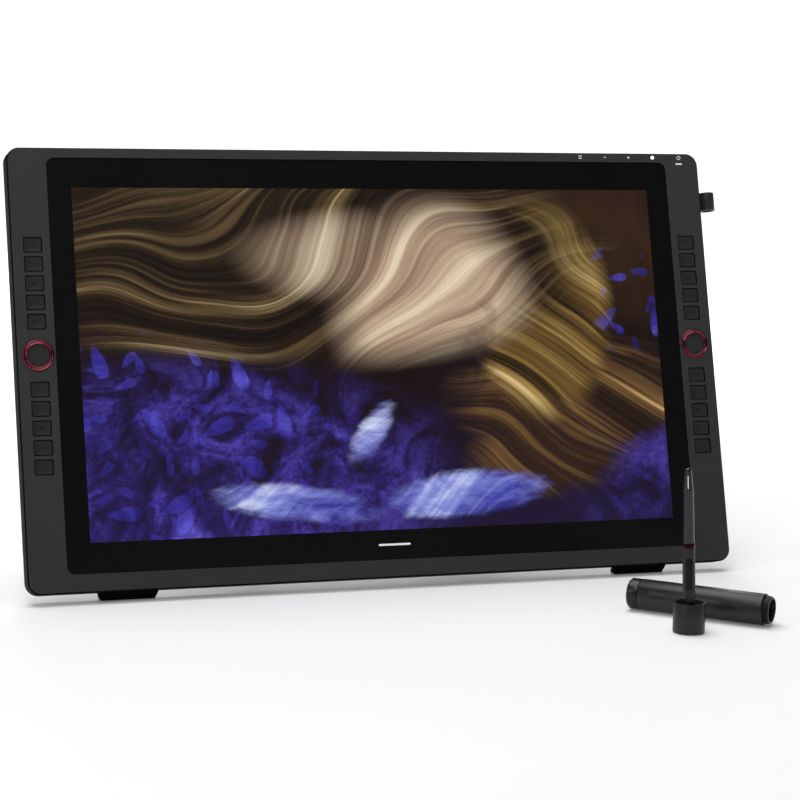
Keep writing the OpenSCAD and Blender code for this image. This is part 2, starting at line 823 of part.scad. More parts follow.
module pen_grip() {
    full = pen_d / 2;
    color("#191a1b") on_pen() difference() {
        union() {
            ring_cone(nose_low, nose_r, grip_low, full - 0.4);
            ring_cone(grip_low, full - 0.4, grip_full, full);
            ring_cone(grip_full, full, band_low, grip_top_r);
        }
        translate([0, 0, nose_low - 1]) cylinder(r = nib_r + nib_gap, h = nib_l + 2);
        translate([0, 0, pen_tip + nib_l - 2]) cylinder(r = spine_bore_r, h = band_low);
        translate([-rocker_w / 2 - rocker_gap, -full - 1, rocker_low - rocker_gap])
            cube([rocker_w + 2 * rocker_gap, 1 + rocker_pocket, rocker_high - rocker_low + 2 * rocker_gap]);
        translate([0, -rocker_pivot_r, rocker_pivot_z])
            bar_x(rocker_pin_r + 0.05, -rocker_w / 2 - 0.7, rocker_w / 2 + 0.7);
    }
}

module pen_band() {
    color("#6d1420") on_pen() difference() {
        translate([0, 0, band_low]) cylinder(r = band_r, h = band_h);
        translate([0, 0, band_low - 1]) cylinder(r = spine_bore_r, h = band_h + 2);
    }
}

module pen_tail() {
    low = band_low + band_h;
    round_z = pen_top - tail_end_r;
    color("#2b2c2e") on_pen() {
        ring_cone(low, tail_low_r, tail_high, tail_d / 2 - 0.2);
        ring_cone(tail_high, tail_d / 2 - 0.2, round_z, tail_end_r + 0.05);
        intersection() {
            translate([0, 0, round_z]) sphere(r = tail_end_r);
            translate([0, 0, round_z + 5 - eps]) cube(10, center = true);
        }
    }
}

module pen_core() {
    coil_low = pen_tip + nib_l - 2 + 0.6;
    coil_high = coil_low + 11;
    color("#4a3b30") on_pen() {
        difference() {
            translate([0, 0, coil_low]) cylinder(r = spine_r, h = coil_high - coil_low);
            translate([0, 0, coil_low - 1]) cylinder(r = nib_r + nib_gap, h = 4.6);
        }
        translate([-1.7, -0.5, coil_high]) cube([3.4, 1, spine_top - coil_high]);
    }
}

module pen_nib() {
    color("#1b1b1c") on_pen() {
        translate([0, 0, pen_tip + nib_r * 0.6]) cylinder(r = nib_r, h = nib_l - nib_r * 0.6);
        ring_cone(pen_tip, nib_r * 0.45, pen_tip + nib_r * 0.6, nib_r);
    }
}

module pen_rocker() {
    length = rocker_high - rocker_low;
    out_r = pen_d / 2 + rocker_proud;
    back_y = -pen_d / 2 + rocker_depth;
    color("#28292a") on_pen() {
        intersection() {
            translate([-rocker_w / 2, -out_r, rocker_low]) cube([rocker_w, out_r + back_y, length]);
            translate([0, 0, rocker_low - 1]) cylinder(r = out_r, h = length + 2, $fn = 96);
        }
        translate([-rocker_w / 2, back_y - eps, rocker_pivot_z - rocker_lug / 2])
            cube([rocker_w, -rocker_pivot_r - back_y + eps, rocker_lug]);
        translate([0, -rocker_pivot_r, rocker_pivot_z])
            bar_x(rocker_pin_r, -rocker_w / 2 - 0.6, rocker_w / 2 + 0.6);
    }
}

// ---------- pen stand and case ----------

module pen_stand_cup() {
    color("#242527") on_cup() difference() {
        union() {
            ring_cone(0, case_d / 2 - 0.8, 0.8, case_d / 2);
            translate([0, 0, 0.8]) cylinder(r = case_d / 2, h = cup_h - 0.8, $fn = 128);
        }
        translate([0, 0, cup_floor]) cylinder(r = cup_inner_r, h = cup_h, $fn = 128);
    }
}

module pen_stand_insert() {
    color("#0f1011") difference() {
        on_cup() {
            translate([0, 0, cup_floor]) cylinder(r = cup_inner_r - 0.1, h = insert_top - cup_floor, $fn = 96);
            translate([0, 0, insert_top - eps])
                cylinder(r = pen_d / 2 + socket_play + 1.2, h = insert_collar_h + eps, $fn = 96);
        }
        on_pen() {
            translate([0, 0, seat_z]) cylinder(r = pen_d / 2 + socket_play, h = cup_h, $fn = 96);
            translate([0, 0, pen_tip - nib_clear]) cylinder(r = seat_r, h = cup_h);
        }
    }
}

module case_tube() {
    color("#28292b") on_case() translate([case_cap_l, 0, 0]) difference() {
        union() {
            bar_x(case_d / 2, 0, case_l - 0.8, $fn = 128);
            translate([case_l - 0.8, 0, 0]) rotate([0, 90, 0])
                cylinder(r1 = case_d / 2, r2 = case_d / 2 - 0.8, h = 0.8, $fn = 128);
        }
        bar_x(case_inner_r, -1, case_l + 1, $fn = 128);
    }
}

module case_liner() {
    end = case_l + liner_out;
    color("#141516") on_case() translate([case_cap_l, 0, 0]) difference() {
        union() {
            bar_x(liner_r, case_cap_spigot + 0.5, case_l, $fn = 128);
            bar_x(thread_r, case_l - eps, end, $fn = 128);
            for (i = [0 : threads - 1]) translate([case_l + 0.9 + i * thread_pitch, 0, 0])
                bar_x(thread_r + thread_lip, -0.3, 0.3, $fn = 128);
        }
        bar_x(liner_d / 2, liner_floor, end + 1, $fn = 128);
        bar_x(liner_d / 2, 0, liner_floor - liner_floor_t, $fn = 128);
    }
}

module case_end_cap() {
    color("#161718") on_case() {
        translate([0, 0, 0]) rotate([0, 90, 0]) cylinder(r1 = case_d / 2 - 1.4, r2 = case_d / 2 - 0.2, h = 1.4, $fn = 128);
        bar_x(case_d / 2 - 0.2, 1.4, case_cap_l - 0.4, $fn = 128);
        bar_x(case_inner_r - 0.15, case_cap_l - 0.4 - eps, case_cap_l + case_cap_spigot, $fn = 128);
    }
}

module spare_nibs() {
    x0 = case_cap_l + case_cap_spigot + 1;
    x1 = case_cap_l + liner_floor - liner_floor_t;
    color("#3a3b3d") on_case() for (i = [0 : nib_spare_n - 1])
        rotate([i * 360 / nib_spare_n, 0, 0]) translate([0, 0, -4]) bar_x(nib_spare_r, x0, x1);
}

// ---------- one node at a time, or all together ----------

front_frame();
rear_cover();
electronics_cover();
cover_glass();
lcd_panel();
backlight_unit();
sensor_board();
chassis_plate();
main_board();
video_socket();
usb_sockets();
power_socket();
key_boards();
dial_hubs();
status_light();
front_feet();
rear_pads();
hinge_bracket();
hinge_pins();
bracket_screws();
cover_screws();
wall_mount_inserts();
pen_holder();
stand_leg();
leg_foot();
friction_washers();
for (s = [0, 1], i = [1 : 2 * keys_a_group])
    key(sides[s], i - 1);
for (s = [0, 1])
    dial_ring(sides[s]);
pen_grip();
pen_tail();
pen_band();
pen_core();
pen_nib();
pen_rocker();
pen_stand_cup();
pen_stand_insert();
case_tube();
case_liner();
case_end_cap();
spare_nibs();
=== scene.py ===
"""Looks of a pen drawing tablet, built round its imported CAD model."""

import json
import logging
import math
from dataclasses import dataclass, field
from enum import Enum
from typing import Any, Mapping, Sequence

import bpy
import numpy as np
from mathutils import Matrix, Vector


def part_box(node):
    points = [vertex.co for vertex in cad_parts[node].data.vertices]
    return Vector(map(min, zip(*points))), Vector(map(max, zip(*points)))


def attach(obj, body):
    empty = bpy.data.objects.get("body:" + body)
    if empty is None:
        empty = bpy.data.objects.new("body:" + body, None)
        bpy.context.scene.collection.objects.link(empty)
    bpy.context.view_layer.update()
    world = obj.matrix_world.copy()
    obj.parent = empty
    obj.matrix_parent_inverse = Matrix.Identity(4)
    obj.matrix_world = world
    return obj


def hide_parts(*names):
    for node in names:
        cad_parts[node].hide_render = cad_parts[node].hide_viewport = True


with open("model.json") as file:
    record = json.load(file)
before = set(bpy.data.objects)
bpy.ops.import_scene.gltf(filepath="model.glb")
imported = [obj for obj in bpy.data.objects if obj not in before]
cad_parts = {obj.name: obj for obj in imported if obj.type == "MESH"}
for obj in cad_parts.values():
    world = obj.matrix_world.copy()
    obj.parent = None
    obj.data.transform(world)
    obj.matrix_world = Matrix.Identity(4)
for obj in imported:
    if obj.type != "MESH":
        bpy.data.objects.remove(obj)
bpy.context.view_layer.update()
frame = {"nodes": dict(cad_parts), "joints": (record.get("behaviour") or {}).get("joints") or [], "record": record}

MM = 0.001
TAU = 2.0 * math.pi
Colour = tuple[float, float, float]
Skin = tuple[np.ndarray, np.ndarray, np.ndarray]

WELD_GAP = 0.000002
CREASE = math.radians(38.0)

log = logging.getLogger("pen_tablet")


# ---------------------------------------------------------------- shader maths

class Signal:
    """A number on a shader's socket that can be used in ordinary arithmetic."""

    def __init__(self, shader: "Shader", socket: bpy.types.NodeSocket) -> None:
        """Wraps one output socket of a shader."""
        self.shader = shader
        self.socket = socket

    def _math(self, operation: str, *values: Any) -> "Signal":
        """Adds one Math node.

        Args:
            operation: the Math node's operation.
            values: its inputs, numbers or signals.

        Returns:
            The node's result.
        """
        made = self.shader.node("ShaderNodeMath", {"operation": operation}, dict(enumerate(values)))
        return Signal(self.shader, made.outputs[0])

    def __add__(self, other: Any) -> "Signal":
        """Sum."""
        return self._math("ADD", self, other)

    __radd__ = __add__

    def __sub__(self, other: Any) -> "Signal":
        """Difference."""
        return self._math("SUBTRACT", self, other)

    def __rsub__(self, other: Any) -> "Signal":
        """Difference from a plain number."""
        return self._math("SUBTRACT", other, self)

    def __mul__(self, other: Any) -> "Signal":
        """Product."""
        return self._math("MULTIPLY", self, other)

    __rmul__ = __mul__

    def __truediv__(self, other: Any) -> "Signal":
        """Quotient."""
        return self._math("DIVIDE", self, other)

    def __pow__(self, other: Any) -> "Signal":
        """Power."""
        return self._math("POWER", self, other)

    def __abs__(self) -> "Signal":
        """Size without its sign."""
        return self._math("ABSOLUTE", self)

    def least(self, other: Any) -> "Signal":
        """The lower of two values."""
        return self._math("MINIMUM", self, other)

    def most(self, other: Any) -> "Signal":
        """The higher of two values."""
        return self._math("MAXIMUM", self, other)

    def sine(self) -> "Signal":
        """Sine of an angle in radians."""
        return self._math("SINE", self)

    def cosine(self) -> "Signal":
        """Cosine of an angle in radians."""
        return self._math("COSINE", self)

    def step(self, low: float, high: float) -> "Signal":
        """Rises smoothly from 0 at low to 1 at high, or falls where low is above high.

        Args:
            low: the value that gives 0.
            high: the value that gives 1.

        Returns:
            The smooth step.
        """
        if low > high:
            return 1.0 - self.step(high, low)
        made = self.shader.node(
            "ShaderNodeMapRange", {"interpolation_type": "SMOOTHSTEP"},
            {"Value": self, "From Min": low, "From Max": high, "To Min": 0.0, "To Max": 1.0})
        return Signal(self.shader, made.outputs[0])


class Shader:
    """One material's or world's node tree, with the one method that makes its nodes."""

    def __init__(self, name: str, owner: bpy.types.World | None = None) -> None:
        """Starts an empty material, or empties a world's tree.

        Args:
            name: the new material's name.
            owner: the world to take in place of a new material.
        """
        self.material = owner or bpy.data.materials.new(name)
        self.material.use_nodes = True
        self.tree = self.material.node_tree
        self.tree.nodes.clear()

    def node(self, kind: str, settings: Mapping[str, Any] | None = None,
             inputs: Mapping[Any, Any] | None = None) -> bpy.types.Node:
        """Makes a node, sets it, then fills its sockets.

        Args:
            kind: the node's type.
            settings: its properties, or a ramp's "stops" as (place, colour) pairs.
            inputs: socket names or numbers, with a value, a Signal or a socket for each.

        Returns:
            The node.
        """
        made = self.tree.nodes.new(kind)
        for key, value in (settings or {}).items():
            if key == "stops":
                self._stops(made, value)
            else:
                setattr(made, key, value)
        for key, value in (inputs or {}).items():
            if isinstance(value, Signal):
                value = value.socket
            if isinstance(value, bpy.types.NodeSocket):
                self.tree.links.new(value, made.inputs[key])
            else:
                made.inputs[key].default_value = value
        return made

    @staticmethod
    def _stops(ramp: bpy.types.Node, stops: Sequence[tuple[float, Colour]]) -> None:
        """Sets a colour ramp's stops.

        Args:
            ramp: the ramp's node.
            stops: its (place, colour) pairs, in order.
        """
        elements = ramp.color_ramp.elements
        while len(elements) < len(stops):
            elements.new(1.0)
        for element, (place, colour) in zip(elements, stops):
            element.position = place
            element.color = (*colour, 1.0)

    def place(self) -> bpy.types.NodeSocket:
        """The point on the surface, in the row frame."""
        return self.node("ShaderNodeTexCoord").outputs["Object"]

    def mapped(self, rotation: Sequence[float] = (0, 0, 0), location: Sequence[float] = (0, 0, 0),
               scale: Sequence[float] = (1, 1, 1)) -> bpy.types.NodeSocket:
        """Turns, scales and then moves the point on the surface.

        Args:
            rotation: turns about X, Y and Z, in radians.
            location: the move, made last.
            scale: the scale along each axis, made first.

        Returns:
            The new point.
        """
        made = self.node("ShaderNodeMapping", {"vector_type": "POINT"},
                         {"Vector": self.place(), "Location": tuple(location),
                          "Rotation": tuple(rotation), "Scale": tuple(scale)})
        return made.outputs[0]

    def parts(self, vector: bpy.types.NodeSocket) -> tuple[Signal, Signal, Signal]:
        """The three numbers of a vector."""
        made = self.node("ShaderNodeSeparateXYZ", inputs={0: vector})
        return tuple(Signal(self, made.outputs[i]) for i in range(3))

    def point(self, x: Any, y: Any, z: Any) -> bpy.types.NodeSocket:
        """A vector from three numbers or signals."""
        return self.node("ShaderNodeCombineXYZ", inputs={0: x, 1: y, 2: z}).outputs[0]

    def noise(self, vector: Any, scale: float, detail: float = 2.0, rough: float = 0.5,
              warp: float = 0.0) -> Signal:
        """Fractal noise about 0.5.

        Args:
            vector: where it is read.
            scale: its frequency.
            detail: octaves.
            rough: how much each octave adds.
            warp: distortion.

        Returns:
            The noise.
        """
        made = self.node("ShaderNodeTexNoise", None,
                         {"Vector": vector, "Scale": scale, "Detail": detail, "Roughness": rough,
                          "Distortion": warp})
        return Signal(self, made.outputs[0])

    def mix(self, factor: Any, first: Any, second: Any) -> bpy.types.NodeSocket:
        """Mixes two colours.

        Args:
            factor: 0 for the first, 1 for the second.
            first: a colour or a colour socket.
            second: a colour or a colour socket.

        Returns:
            The mixed colour's socket.
        """
        first, second = ((*c, 1.0) if isinstance(c, tuple) else c for c in (first, second))
        made = self.node("ShaderNodeMix", {"data_type": "RGBA"}, {0: factor, 6: first, 7: second})
        return made.outputs[2]

    def ramp(self, value: Signal, stops: Sequence[tuple[float, Colour]]) -> bpy.types.NodeSocket:
        """A colour read from stops by a value."""
        return self.node("ShaderNodeValToRGB", {"stops": stops}, {0: value}).outputs[0]

    def bump(self, height: Signal, distance: float) -> bpy.types.NodeSocket:
        """A normal tilted by a height.

        Args:
            height: the height, 0 to 1.
            distance: how far 1 stands out, in metres.

        Returns:
            The normal's socket.
        """
        made = self.node("ShaderNodeBump", None, {"Height": height, "Distance": distance, "Strength": 1.0})
        return made.outputs[0]

    def surface(self, **sockets: Any) -> bpy.types.Material:
        """Ends the material with one Principled shader.

        Args:
            sockets: its inputs by name, with underscores for spaces.

        Returns:
            The finished material.
        """
        inputs = {key.replace("_", " "): (*value, 1.0) if isinstance(value, tuple) else value
                  for key, value in sockets.items()}
        shader = self.node("ShaderNodeBsdfPrincipled", None, inputs)
        self.node("ShaderNodeOutputMaterial", None, {"Surface": shader.outputs[0]})
        return self.material


# ---------------------------------------------------------------- finishes

def scaled(colour: Colour, factor: float) -> Colour:
    """A colour made lighter or darker."""
    return tuple(min(1.0, c * factor) for c in colour)


def tint(red: float, green: float, blue: float) -> Colour:
    """A linear colour from its display values, 0 to 255 each."""
    return tuple(((v / 255.0 + 0.055) / 1.055) ** 2.4 if v > 10 else v / 255.0 / 12.92
                 for v in (red, green, blue))


@dataclass(frozen=True)
class Moulded:
    """Moulded plastic or rubber: a fine even grain, slight clouding and handling sheen.

    Fields:
        colour: its base colour.
        roughness: its mean roughness.
        grain: grains a metre.
        depth: the grain's height, in metres.
        clouding: how far the colour wanders.
        specular: the specular level.
    """

    colour: Colour
    roughness: float = 0.45
    grain: float = 2600.0
    depth: float = 0.00003
    clouding: float = 0.10
    specular: float = 0.20

    def shade(self, s: Shader, colour: bpy.types.NodeSocket) -> bpy.types.NodeSocket:
        """Paints shade into the colour from place to place. Plain mouldings leave it as it is."""
        return colour

    def material(self, name: str) -> bpy.types.Material:
        """Makes the material.

        Args:
            name: the material's name.

        Returns:
            The material.
        """
        s = Shader(name)
        at = s.place()
        cloud = s.noise(at, 22.0, 4.0, 0.6)
        grain = s.noise(at, self.grain, 1.0)
        smear = s.noise(s.mapped(scale=(1.0, 1.0, 0.3)), 60.0, 3.0, 0.65).step(0.45, 0.75)
        tone = (cloud * self.clouding + grain * (0.5 * self.clouding)).step(0.0, 1.5 * self.clouding)
        colour = s.mix(tone, scaled(self.colour, 1.0 - self.clouding),
                       scaled(self.colour, 1.0 + self.clouding))
        rough = smear * -0.06 + (grain - 0.5) * 0.10 + self.roughness
        return s.surface(Base_Color=self.shade(s, colour), Roughness=rough, Specular_IOR_Level=self.specular,
                         Normal=s.bump(grain, self.depth))


@dataclass(frozen=True)
class Metal:
    """Machined, coated or anodised metal with fine lines along one axis.

    Fields:
        colour: its base colour.
        roughness: its mean roughness.
        lines: the scale of its pattern along X, Y and Z, low along the lines.
        depth: the lines' height, in metres.
        metallic: 1 for bare or anodised metal, 0 for paint.
        coat: a clear layer's weight.
    """

    colour: Colour
    roughness: float = 0.3
    lines: tuple[float, float, float] = (60.0, 3000.0, 3000.0)
    depth: float = 0.00001
    metallic: float = 1.0
    coat: float = 0.0

    def material(self, name: str) -> bpy.types.Material:
        """Makes the material.

        Args:
            name: the material's name.

        Returns:
            The material.
        """
        s = Shader(name)
        lines = s.noise(s.mapped(scale=self.lines), 1.0, 3.0, 0.6)
        cloud = s.noise(s.place(), 35.0, 4.0, 0.6)
        colour = s.mix((lines * 0.6 + cloud * 0.4).step(0.3, 0.7), scaled(self.colour, 0.82),
                       scaled(self.colour, 1.12))
        rough = (lines - 0.5) * 0.16 + (cloud - 0.5) * 0.10 + self.roughness
        return s.surface(Base_Color=colour, Roughness=rough, Metallic=self.metallic,
                         Coat_Weight=self.coat, Normal=s.bump(lines, self.depth))


@dataclass(frozen=True)
class CircuitBoard:
    """Solder mask over copper tracks: a lattice of straight runs broken up by noise.

    Fields:
        colour: the mask's colour.
        track: its colour over a track.
        pitch: tracks a metre.
    """

    colour: Colour = (0.010, 0.075, 0.035)
    track: Colour = (0.030, 0.150, 0.075)
    pitch: float = 260.0

    def material(self, name: str) -> bpy.types.Material:
        """Makes the material.

        Args:
            name: the material's name.

        Returns:
            The material.
        """
        s = Shader(name)
        x, _, z = s.parts(s.mapped(scale=(self.pitch,) * 3))
        cells = s.noise(s.mapped(scale=(40.0, 40.0, 40.0)), 1.0, 0.0).step(0.48, 0.52)
        runs = (x * TAU).sine() * cells + (z * TAU).sine() * (1.0 - cells)
        track = runs.step(0.35, 0.6)
        fine = s.noise(s.place(), 900.0, 2.0)
        return s.surface(Base_Color=s.mix(track, self.colour, self.track),
                         Roughness=0.32 + fine * 0.2, Normal=s.bump(track, 0.00003))


@dataclass(frozen=True)
class Lit:
    """A light pipe's glow, or painted light that makes a printed sign glow, a little unevenly.

    Fields:
        colour: its colour, and its light's.
        strength: how bright its light is.
    """

    colour: Colour = (0.86, 0.92, 1.0)
    strength: float = 1.0

    def material(self, name: str) -> bpy.types.Material:
        """Makes the material.

        Args:
            name: the material's name.

        Returns:
            The material.
        """
        s = Shader(name)
        cloud = s.noise(s.place(), 1500.0, 2.0)
        colour = s.mix(cloud, scaled(self.colour, 0.85), self.colour)
        return s.surface(Base_Color=colour, Roughness=cloud * 0.2 + 0.3, Emission_Color=colour,
                         Emission_Strength=self.strength)


# ---------------------------------------------------------------- surfaces

def rounded_loop(half_w: float, half_h: float, radius: float, corner: int = 8) -> np.ndarray:
    """A rectangle with round corners: four quarter circles of a radius about the inset corners.

    Args:
        half_w: half its width.
        half_h: half its height.
        radius: its corner radius.
        corner: steps in each quarter circle.

    Returns:
        Its points anticlockwise, as (n, 2).
    """
    turn = np.linspace(0.0, math.pi / 2, corner + 1)
    quarter = np.stack([np.cos(turn), np.sin(turn)], 1)
    loops = []
    for k, (sx, sy) in enumerate(((1, 1), (-1, 1), (-1, -1), (1, -1))):
        c, s = math.cos(k * math.pi / 2), math.sin(k * math.pi / 2)
        turned = quarter @ np.array([[c, s], [-s, c]])
        loops.append(turned * radius + np.array([sx * (half_w - radius), sy * (half_h - radius)]))
    return np.concatenate(loops)


def circle_loop(radius: float, steps: int) -> np.ndarray:
    """A circle: (r cos t, r sin t) for equal steps of t.

    Args:
        radius: its radius.
        steps: its points.

    Returns:
        Its points anticlockwise, as (steps, 2).
    """
    turn = np.arange(steps) * TAU / steps
    return radius * np.stack([np.cos(turn), np.sin(turn)], 1)


def closed_skin(rings: np.ndarray, ends: bool = True) -> Skin:
    """Joins rings of points: quad (i, j) spans rings i and i + 1 and points j and j + 1.

    Args:
        rings: points as (rings, points, 3).
        ends: close the first and last rings to their middle points, or else join them together.

    Returns:
        Points, quads and triangles.
    """
    n, m, _ = rings.shape
    last = n - 1 if ends else n
    i, j = np.meshgrid(np.arange(last), np.arange(m), indexing="ij")
    i2, j2 = (i + 1) % n, (j + 1) % m
    quads = np.stack([i * m + j, i * m + j2, i2 * m + j2, i2 * m + j], -1).reshape(-1, 4)
    points = rings.reshape(-1, 3)
    tris = np.zeros((0, 3), int)
    if ends:
        k = np.arange(m)
        k2 = (k + 1) % m
        low, high = np.full(m, n * m), np.full(m, n * m + 1)
        tris = np.concatenate([np.stack([low, k2, k], 1),
                               np.stack([high, (n - 1) * m + k, (n - 1) * m + k2], 1)])
        points = np.concatenate([points, rings[0].mean(0)[None], rings[-1].mean(0)[None]])
    return points, quads, tris


def mesh_piece(name: str, parts: Sequence[Skin], sharp: float = 40.0) -> bpy.types.Object:
    """Makes one object of one or more closed skins, with every face turned outwards.

    Args:
        name: the piece's name.
        parts: skins, each as points, quads and triangles.
        sharp: edges that turn more than this, in degrees, stay crisp.

    Returns:
        The object, at the origin.
    """
    all_points, corners, totals, base = [], [], [], 0
    for points, quads, tris in parts:
        fan = np.concatenate([tris, quads[:, [0, 1, 2]], quads[:, [0, 2, 3]]])
        a, b, c = (points[fan[:, k]] for k in range(3))
        if np.einsum("ij,ij->", a - points.mean(0), np.cross(b - points.mean(0), c - points.mean(0))) < 0:
            quads, tris = quads[:, ::-1], tris[:, ::-1]
        all_points.append(points)
        corners += [(quads + base).ravel(), (tris + base).ravel()]
        totals += [np.full(len(quads), 4), np.full(len(tris), 3)]
        base += len(points)
    points, corner, total = np.concatenate(all_points), np.concatenate(corners), np.concatenate(totals)
    mesh = bpy.data.meshes.new(name)
    mesh.vertices.add(len(points))
    mesh.vertices.foreach_set("co", points.astype(np.float32).ravel())
    mesh.loops.add(len(corner))
    mesh.loops.foreach_set("vertex_index", corner.astype(np.int32))
    mesh.polygons.add(len(total))
    mesh.polygons.foreach_set("loop_start", (np.cumsum(total) - total).astype(np.int32))
    mesh.polygons.foreach_set("loop_total", total.astype(np.int32))
    mesh.polygons.foreach_set("use_smooth", np.ones(len(total), bool))
    mesh.update(calc_edges=True)
    mesh.validate()
    mesh.set_sharp_from_angle(angle=math.radians(sharp))
    piece = bpy.data.objects.new(name, mesh)
    bpy.context.scene.collection.objects.link(piece)
    return piece


@dataclass(frozen=True)
class Placing:
    """Three axes and an origin: local x, y and z become origin + x right + y into + z up."""

    origin: Vector
    right: Vector
    into: Vector
    up: Vector

    def world(self, points: np.ndarray) -> np.ndarray:
        """Local points in the row frame.

        Args:
            points: local points, as (..., 3).

        Returns:
            The same points in the row frame.
        """
        axes = np.array([self.right, self.into, self.up])
        return points @ axes + np.array(self.origin)

    def local(self, points: np.ndarray) -> np.ndarray:
        """Points of the row frame in local coordinates.

        Args:
            points: points as (n, 3).

        Returns:
            Their local coordinates.
        """
        axes = np.array([self.right, self.into, self.up])
        return (points - np.array(self.origin)) @ axes.T

    def extent(self, node: str) -> tuple[np.ndarray, np.ndarray]:
        """A CAD node's lowest and highest local coordinates.

        Args:
            node: the node's name.

        Returns:
            Two corners.
        """
        mesh = frame["nodes"][node].data
        points = np.zeros(len(mesh.vertices) * 3, np.float32)
        mesh.vertices.foreach_get("co", points)
        local = self.local(points.reshape(-1, 3).astype(float))
        return local.min(0), local.max(0)

    def moved(self, x: float, y: float, z: float) -> "Placing":
        """The same axes about another local point."""
        origin = self.origin + float(x) * self.right + float(y) * self.into + float(z) * self.up
        return Placing(origin, self.right, self.into, self.up)

    def stack(self, loops: Sequence[np.ndarray], depths: Sequence[float]) -> np.ndarray:
        """Rings of points: loop k, in x and z, at depth k along y.

        Args:
            loops: flat loops, each (m, 2).
            depths: a depth for each loop, or an (m,) array of depths.

        Returns:
            Rings in the row frame, as (loops, m, 3).
        """
        rings = [np.stack([loop[:, 0], np.broadcast_to(depth, len(loop)), loop[:, 1]], 1)
                 for loop, depth in zip(loops, depths)]
        return self.world(np.array(rings))


def joint_axis(name: str) -> Vector:
    """A joint's axis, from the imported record."""
    return Vector(next(j["axis"] for j in frame["joints"] if j["name"] == name)).normalized()


def panel_placing() -> Placing:
    """The display's own axes: x right, y into it, z up its face, about the middle of its face.

    Returns:
        The placing.
    """
    into, right = joint_axis("key_left_1_press"), Vector((1.0, 0.0, 0.0))
    plain = Placing(Vector(), right, into, right.cross(into))
    low, high = plain.extent("front_frame")
    middle = (low + high) / 2
    return plain.moved(middle[0], low[1], middle[2])


PANEL = panel_placing()


def standing_on(axis: Vector, across: Vector, node: str) -> Placing:
    """A placing about a round node: z along its axis, from the end where z is least.

    Args:
        axis: the node's axis.
        across: roughly the direction its y should take.
        node: the node's name.

    Returns:
        The placing.
    """
    up = axis.normalized()
    into = (across - across.dot(up) * up).normalized()
    plain = Placing(Vector(), into.cross(up), into, up)
    low, high = plain.extent(node)
    return plain.moved((low[0] + high[0]) / 2, (low[1] + high[1]) / 2, low[2])


def pen_placing() -> Placing:
    """The pen's own axes: z up it from its nib's end, y away from whoever sits at the display."""
    return standing_on(joint_axis("pen_lift"), Vector((0.45, 0.89, 0.0)), "pen_nib")


def case_placing() -> Placing:
    """The case's own axes: z along it from its closed end, y away from its front."""
    return standing_on(-joint_axis("end_cap_pull"), Vector((0.34, 0.92, -0.30)), "case_end_cap")


@dataclass(frozen=True)
class DepthShadedCasing(Moulded):
    """The display's casing, with painted shade: one colour in front, and another from some depth behind the face,
    for the shade on its sides and in its openings.

    Fields:
        behind: the colour behind.
        turn_in: how far behind the face the change comes.
        blend: how far it takes.
    """

    behind: Colour = (0.002, 0.002, 0.002)
    turn_in: float = 0.08 * MM
    blend: float = 0.25 * MM

    def shade(self, s: Shader, colour: bpy.types.NodeSocket) -> bpy.types.NodeSocket:
        """Paints shade by the depth behind the face, along the display's own axis.

        Args:
            s: the shader.
            colour: the front's colour.

        Returns:
            The colour at each place.
        """
        _, y, z = s.parts(s.place())
        depth = y * PANEL.into.y + z * PANEL.into.z - PANEL.origin.dot(PANEL.into)
        # Painted shade: from turn_in behind the face the colour blends into the behind colour.
        return s.mix(depth.step(self.turn_in, self.turn_in + self.blend), colour, self.behind)


@dataclass(frozen=True)
class Turned(Moulded):
    """A moulded tube with painted shade for fine grooves round it: near-black lines, with no groove in its shape.

    Fields:
        shaded_grooves: each painted groove's place along the tube, from its node's closed end.
        line: half a groove's width.
    """

    shaded_grooves: tuple[float, ...] = ()
    line: float = 0.22 * MM

    def shade(self, s: Shader, colour: bpy.types.NodeSocket) -> bpy.types.NodeSocket:
        """Paints shade for the grooves, by the distance along the case's axis.

        Args:
            s: the shader.
            colour: the tube's colour.

        Returns:
            The colour at each place.
        """
        case = case_placing()
        x, y, z = s.parts(s.place())
        along = x * case.up.x + y * case.up.y + z * case.up.z - case.origin.dot(case.up)
        for place in self.shaded_grooves:
            # Painted shade: a near-black line for each groove.
            colour = s.mix(abs(along - place).step(self.line, 0.5 * self.line), colour, (0.001, 0.001, 0.001))
        return colour


def dress(node: str, material: bpy.types.Material, edge: float = 0.0) -> None:
    """Gives a CAD node its finish, and rounds its edges a little.

    Args:
        node: the node's name.
        material: its finish.
        edge: the rounding of its edges, in metres, or 0 for none.
    """
    piece = frame["nodes"][node]
    for slot in piece.material_slots:
        slot.material = material
    if edge:
        weld = piece.modifiers.new("weld", "WELD")
        weld.merge_threshold = WELD_GAP
        bevel = piece.modifiers.new("edge", "BEVEL")
        bevel.width = edge
        bevel.segments = 2
        bevel.limit_method = "ANGLE"
        bevel.angle_limit = CREASE
        bevel.harden_normals = True
    log.info("dressed %s", node)


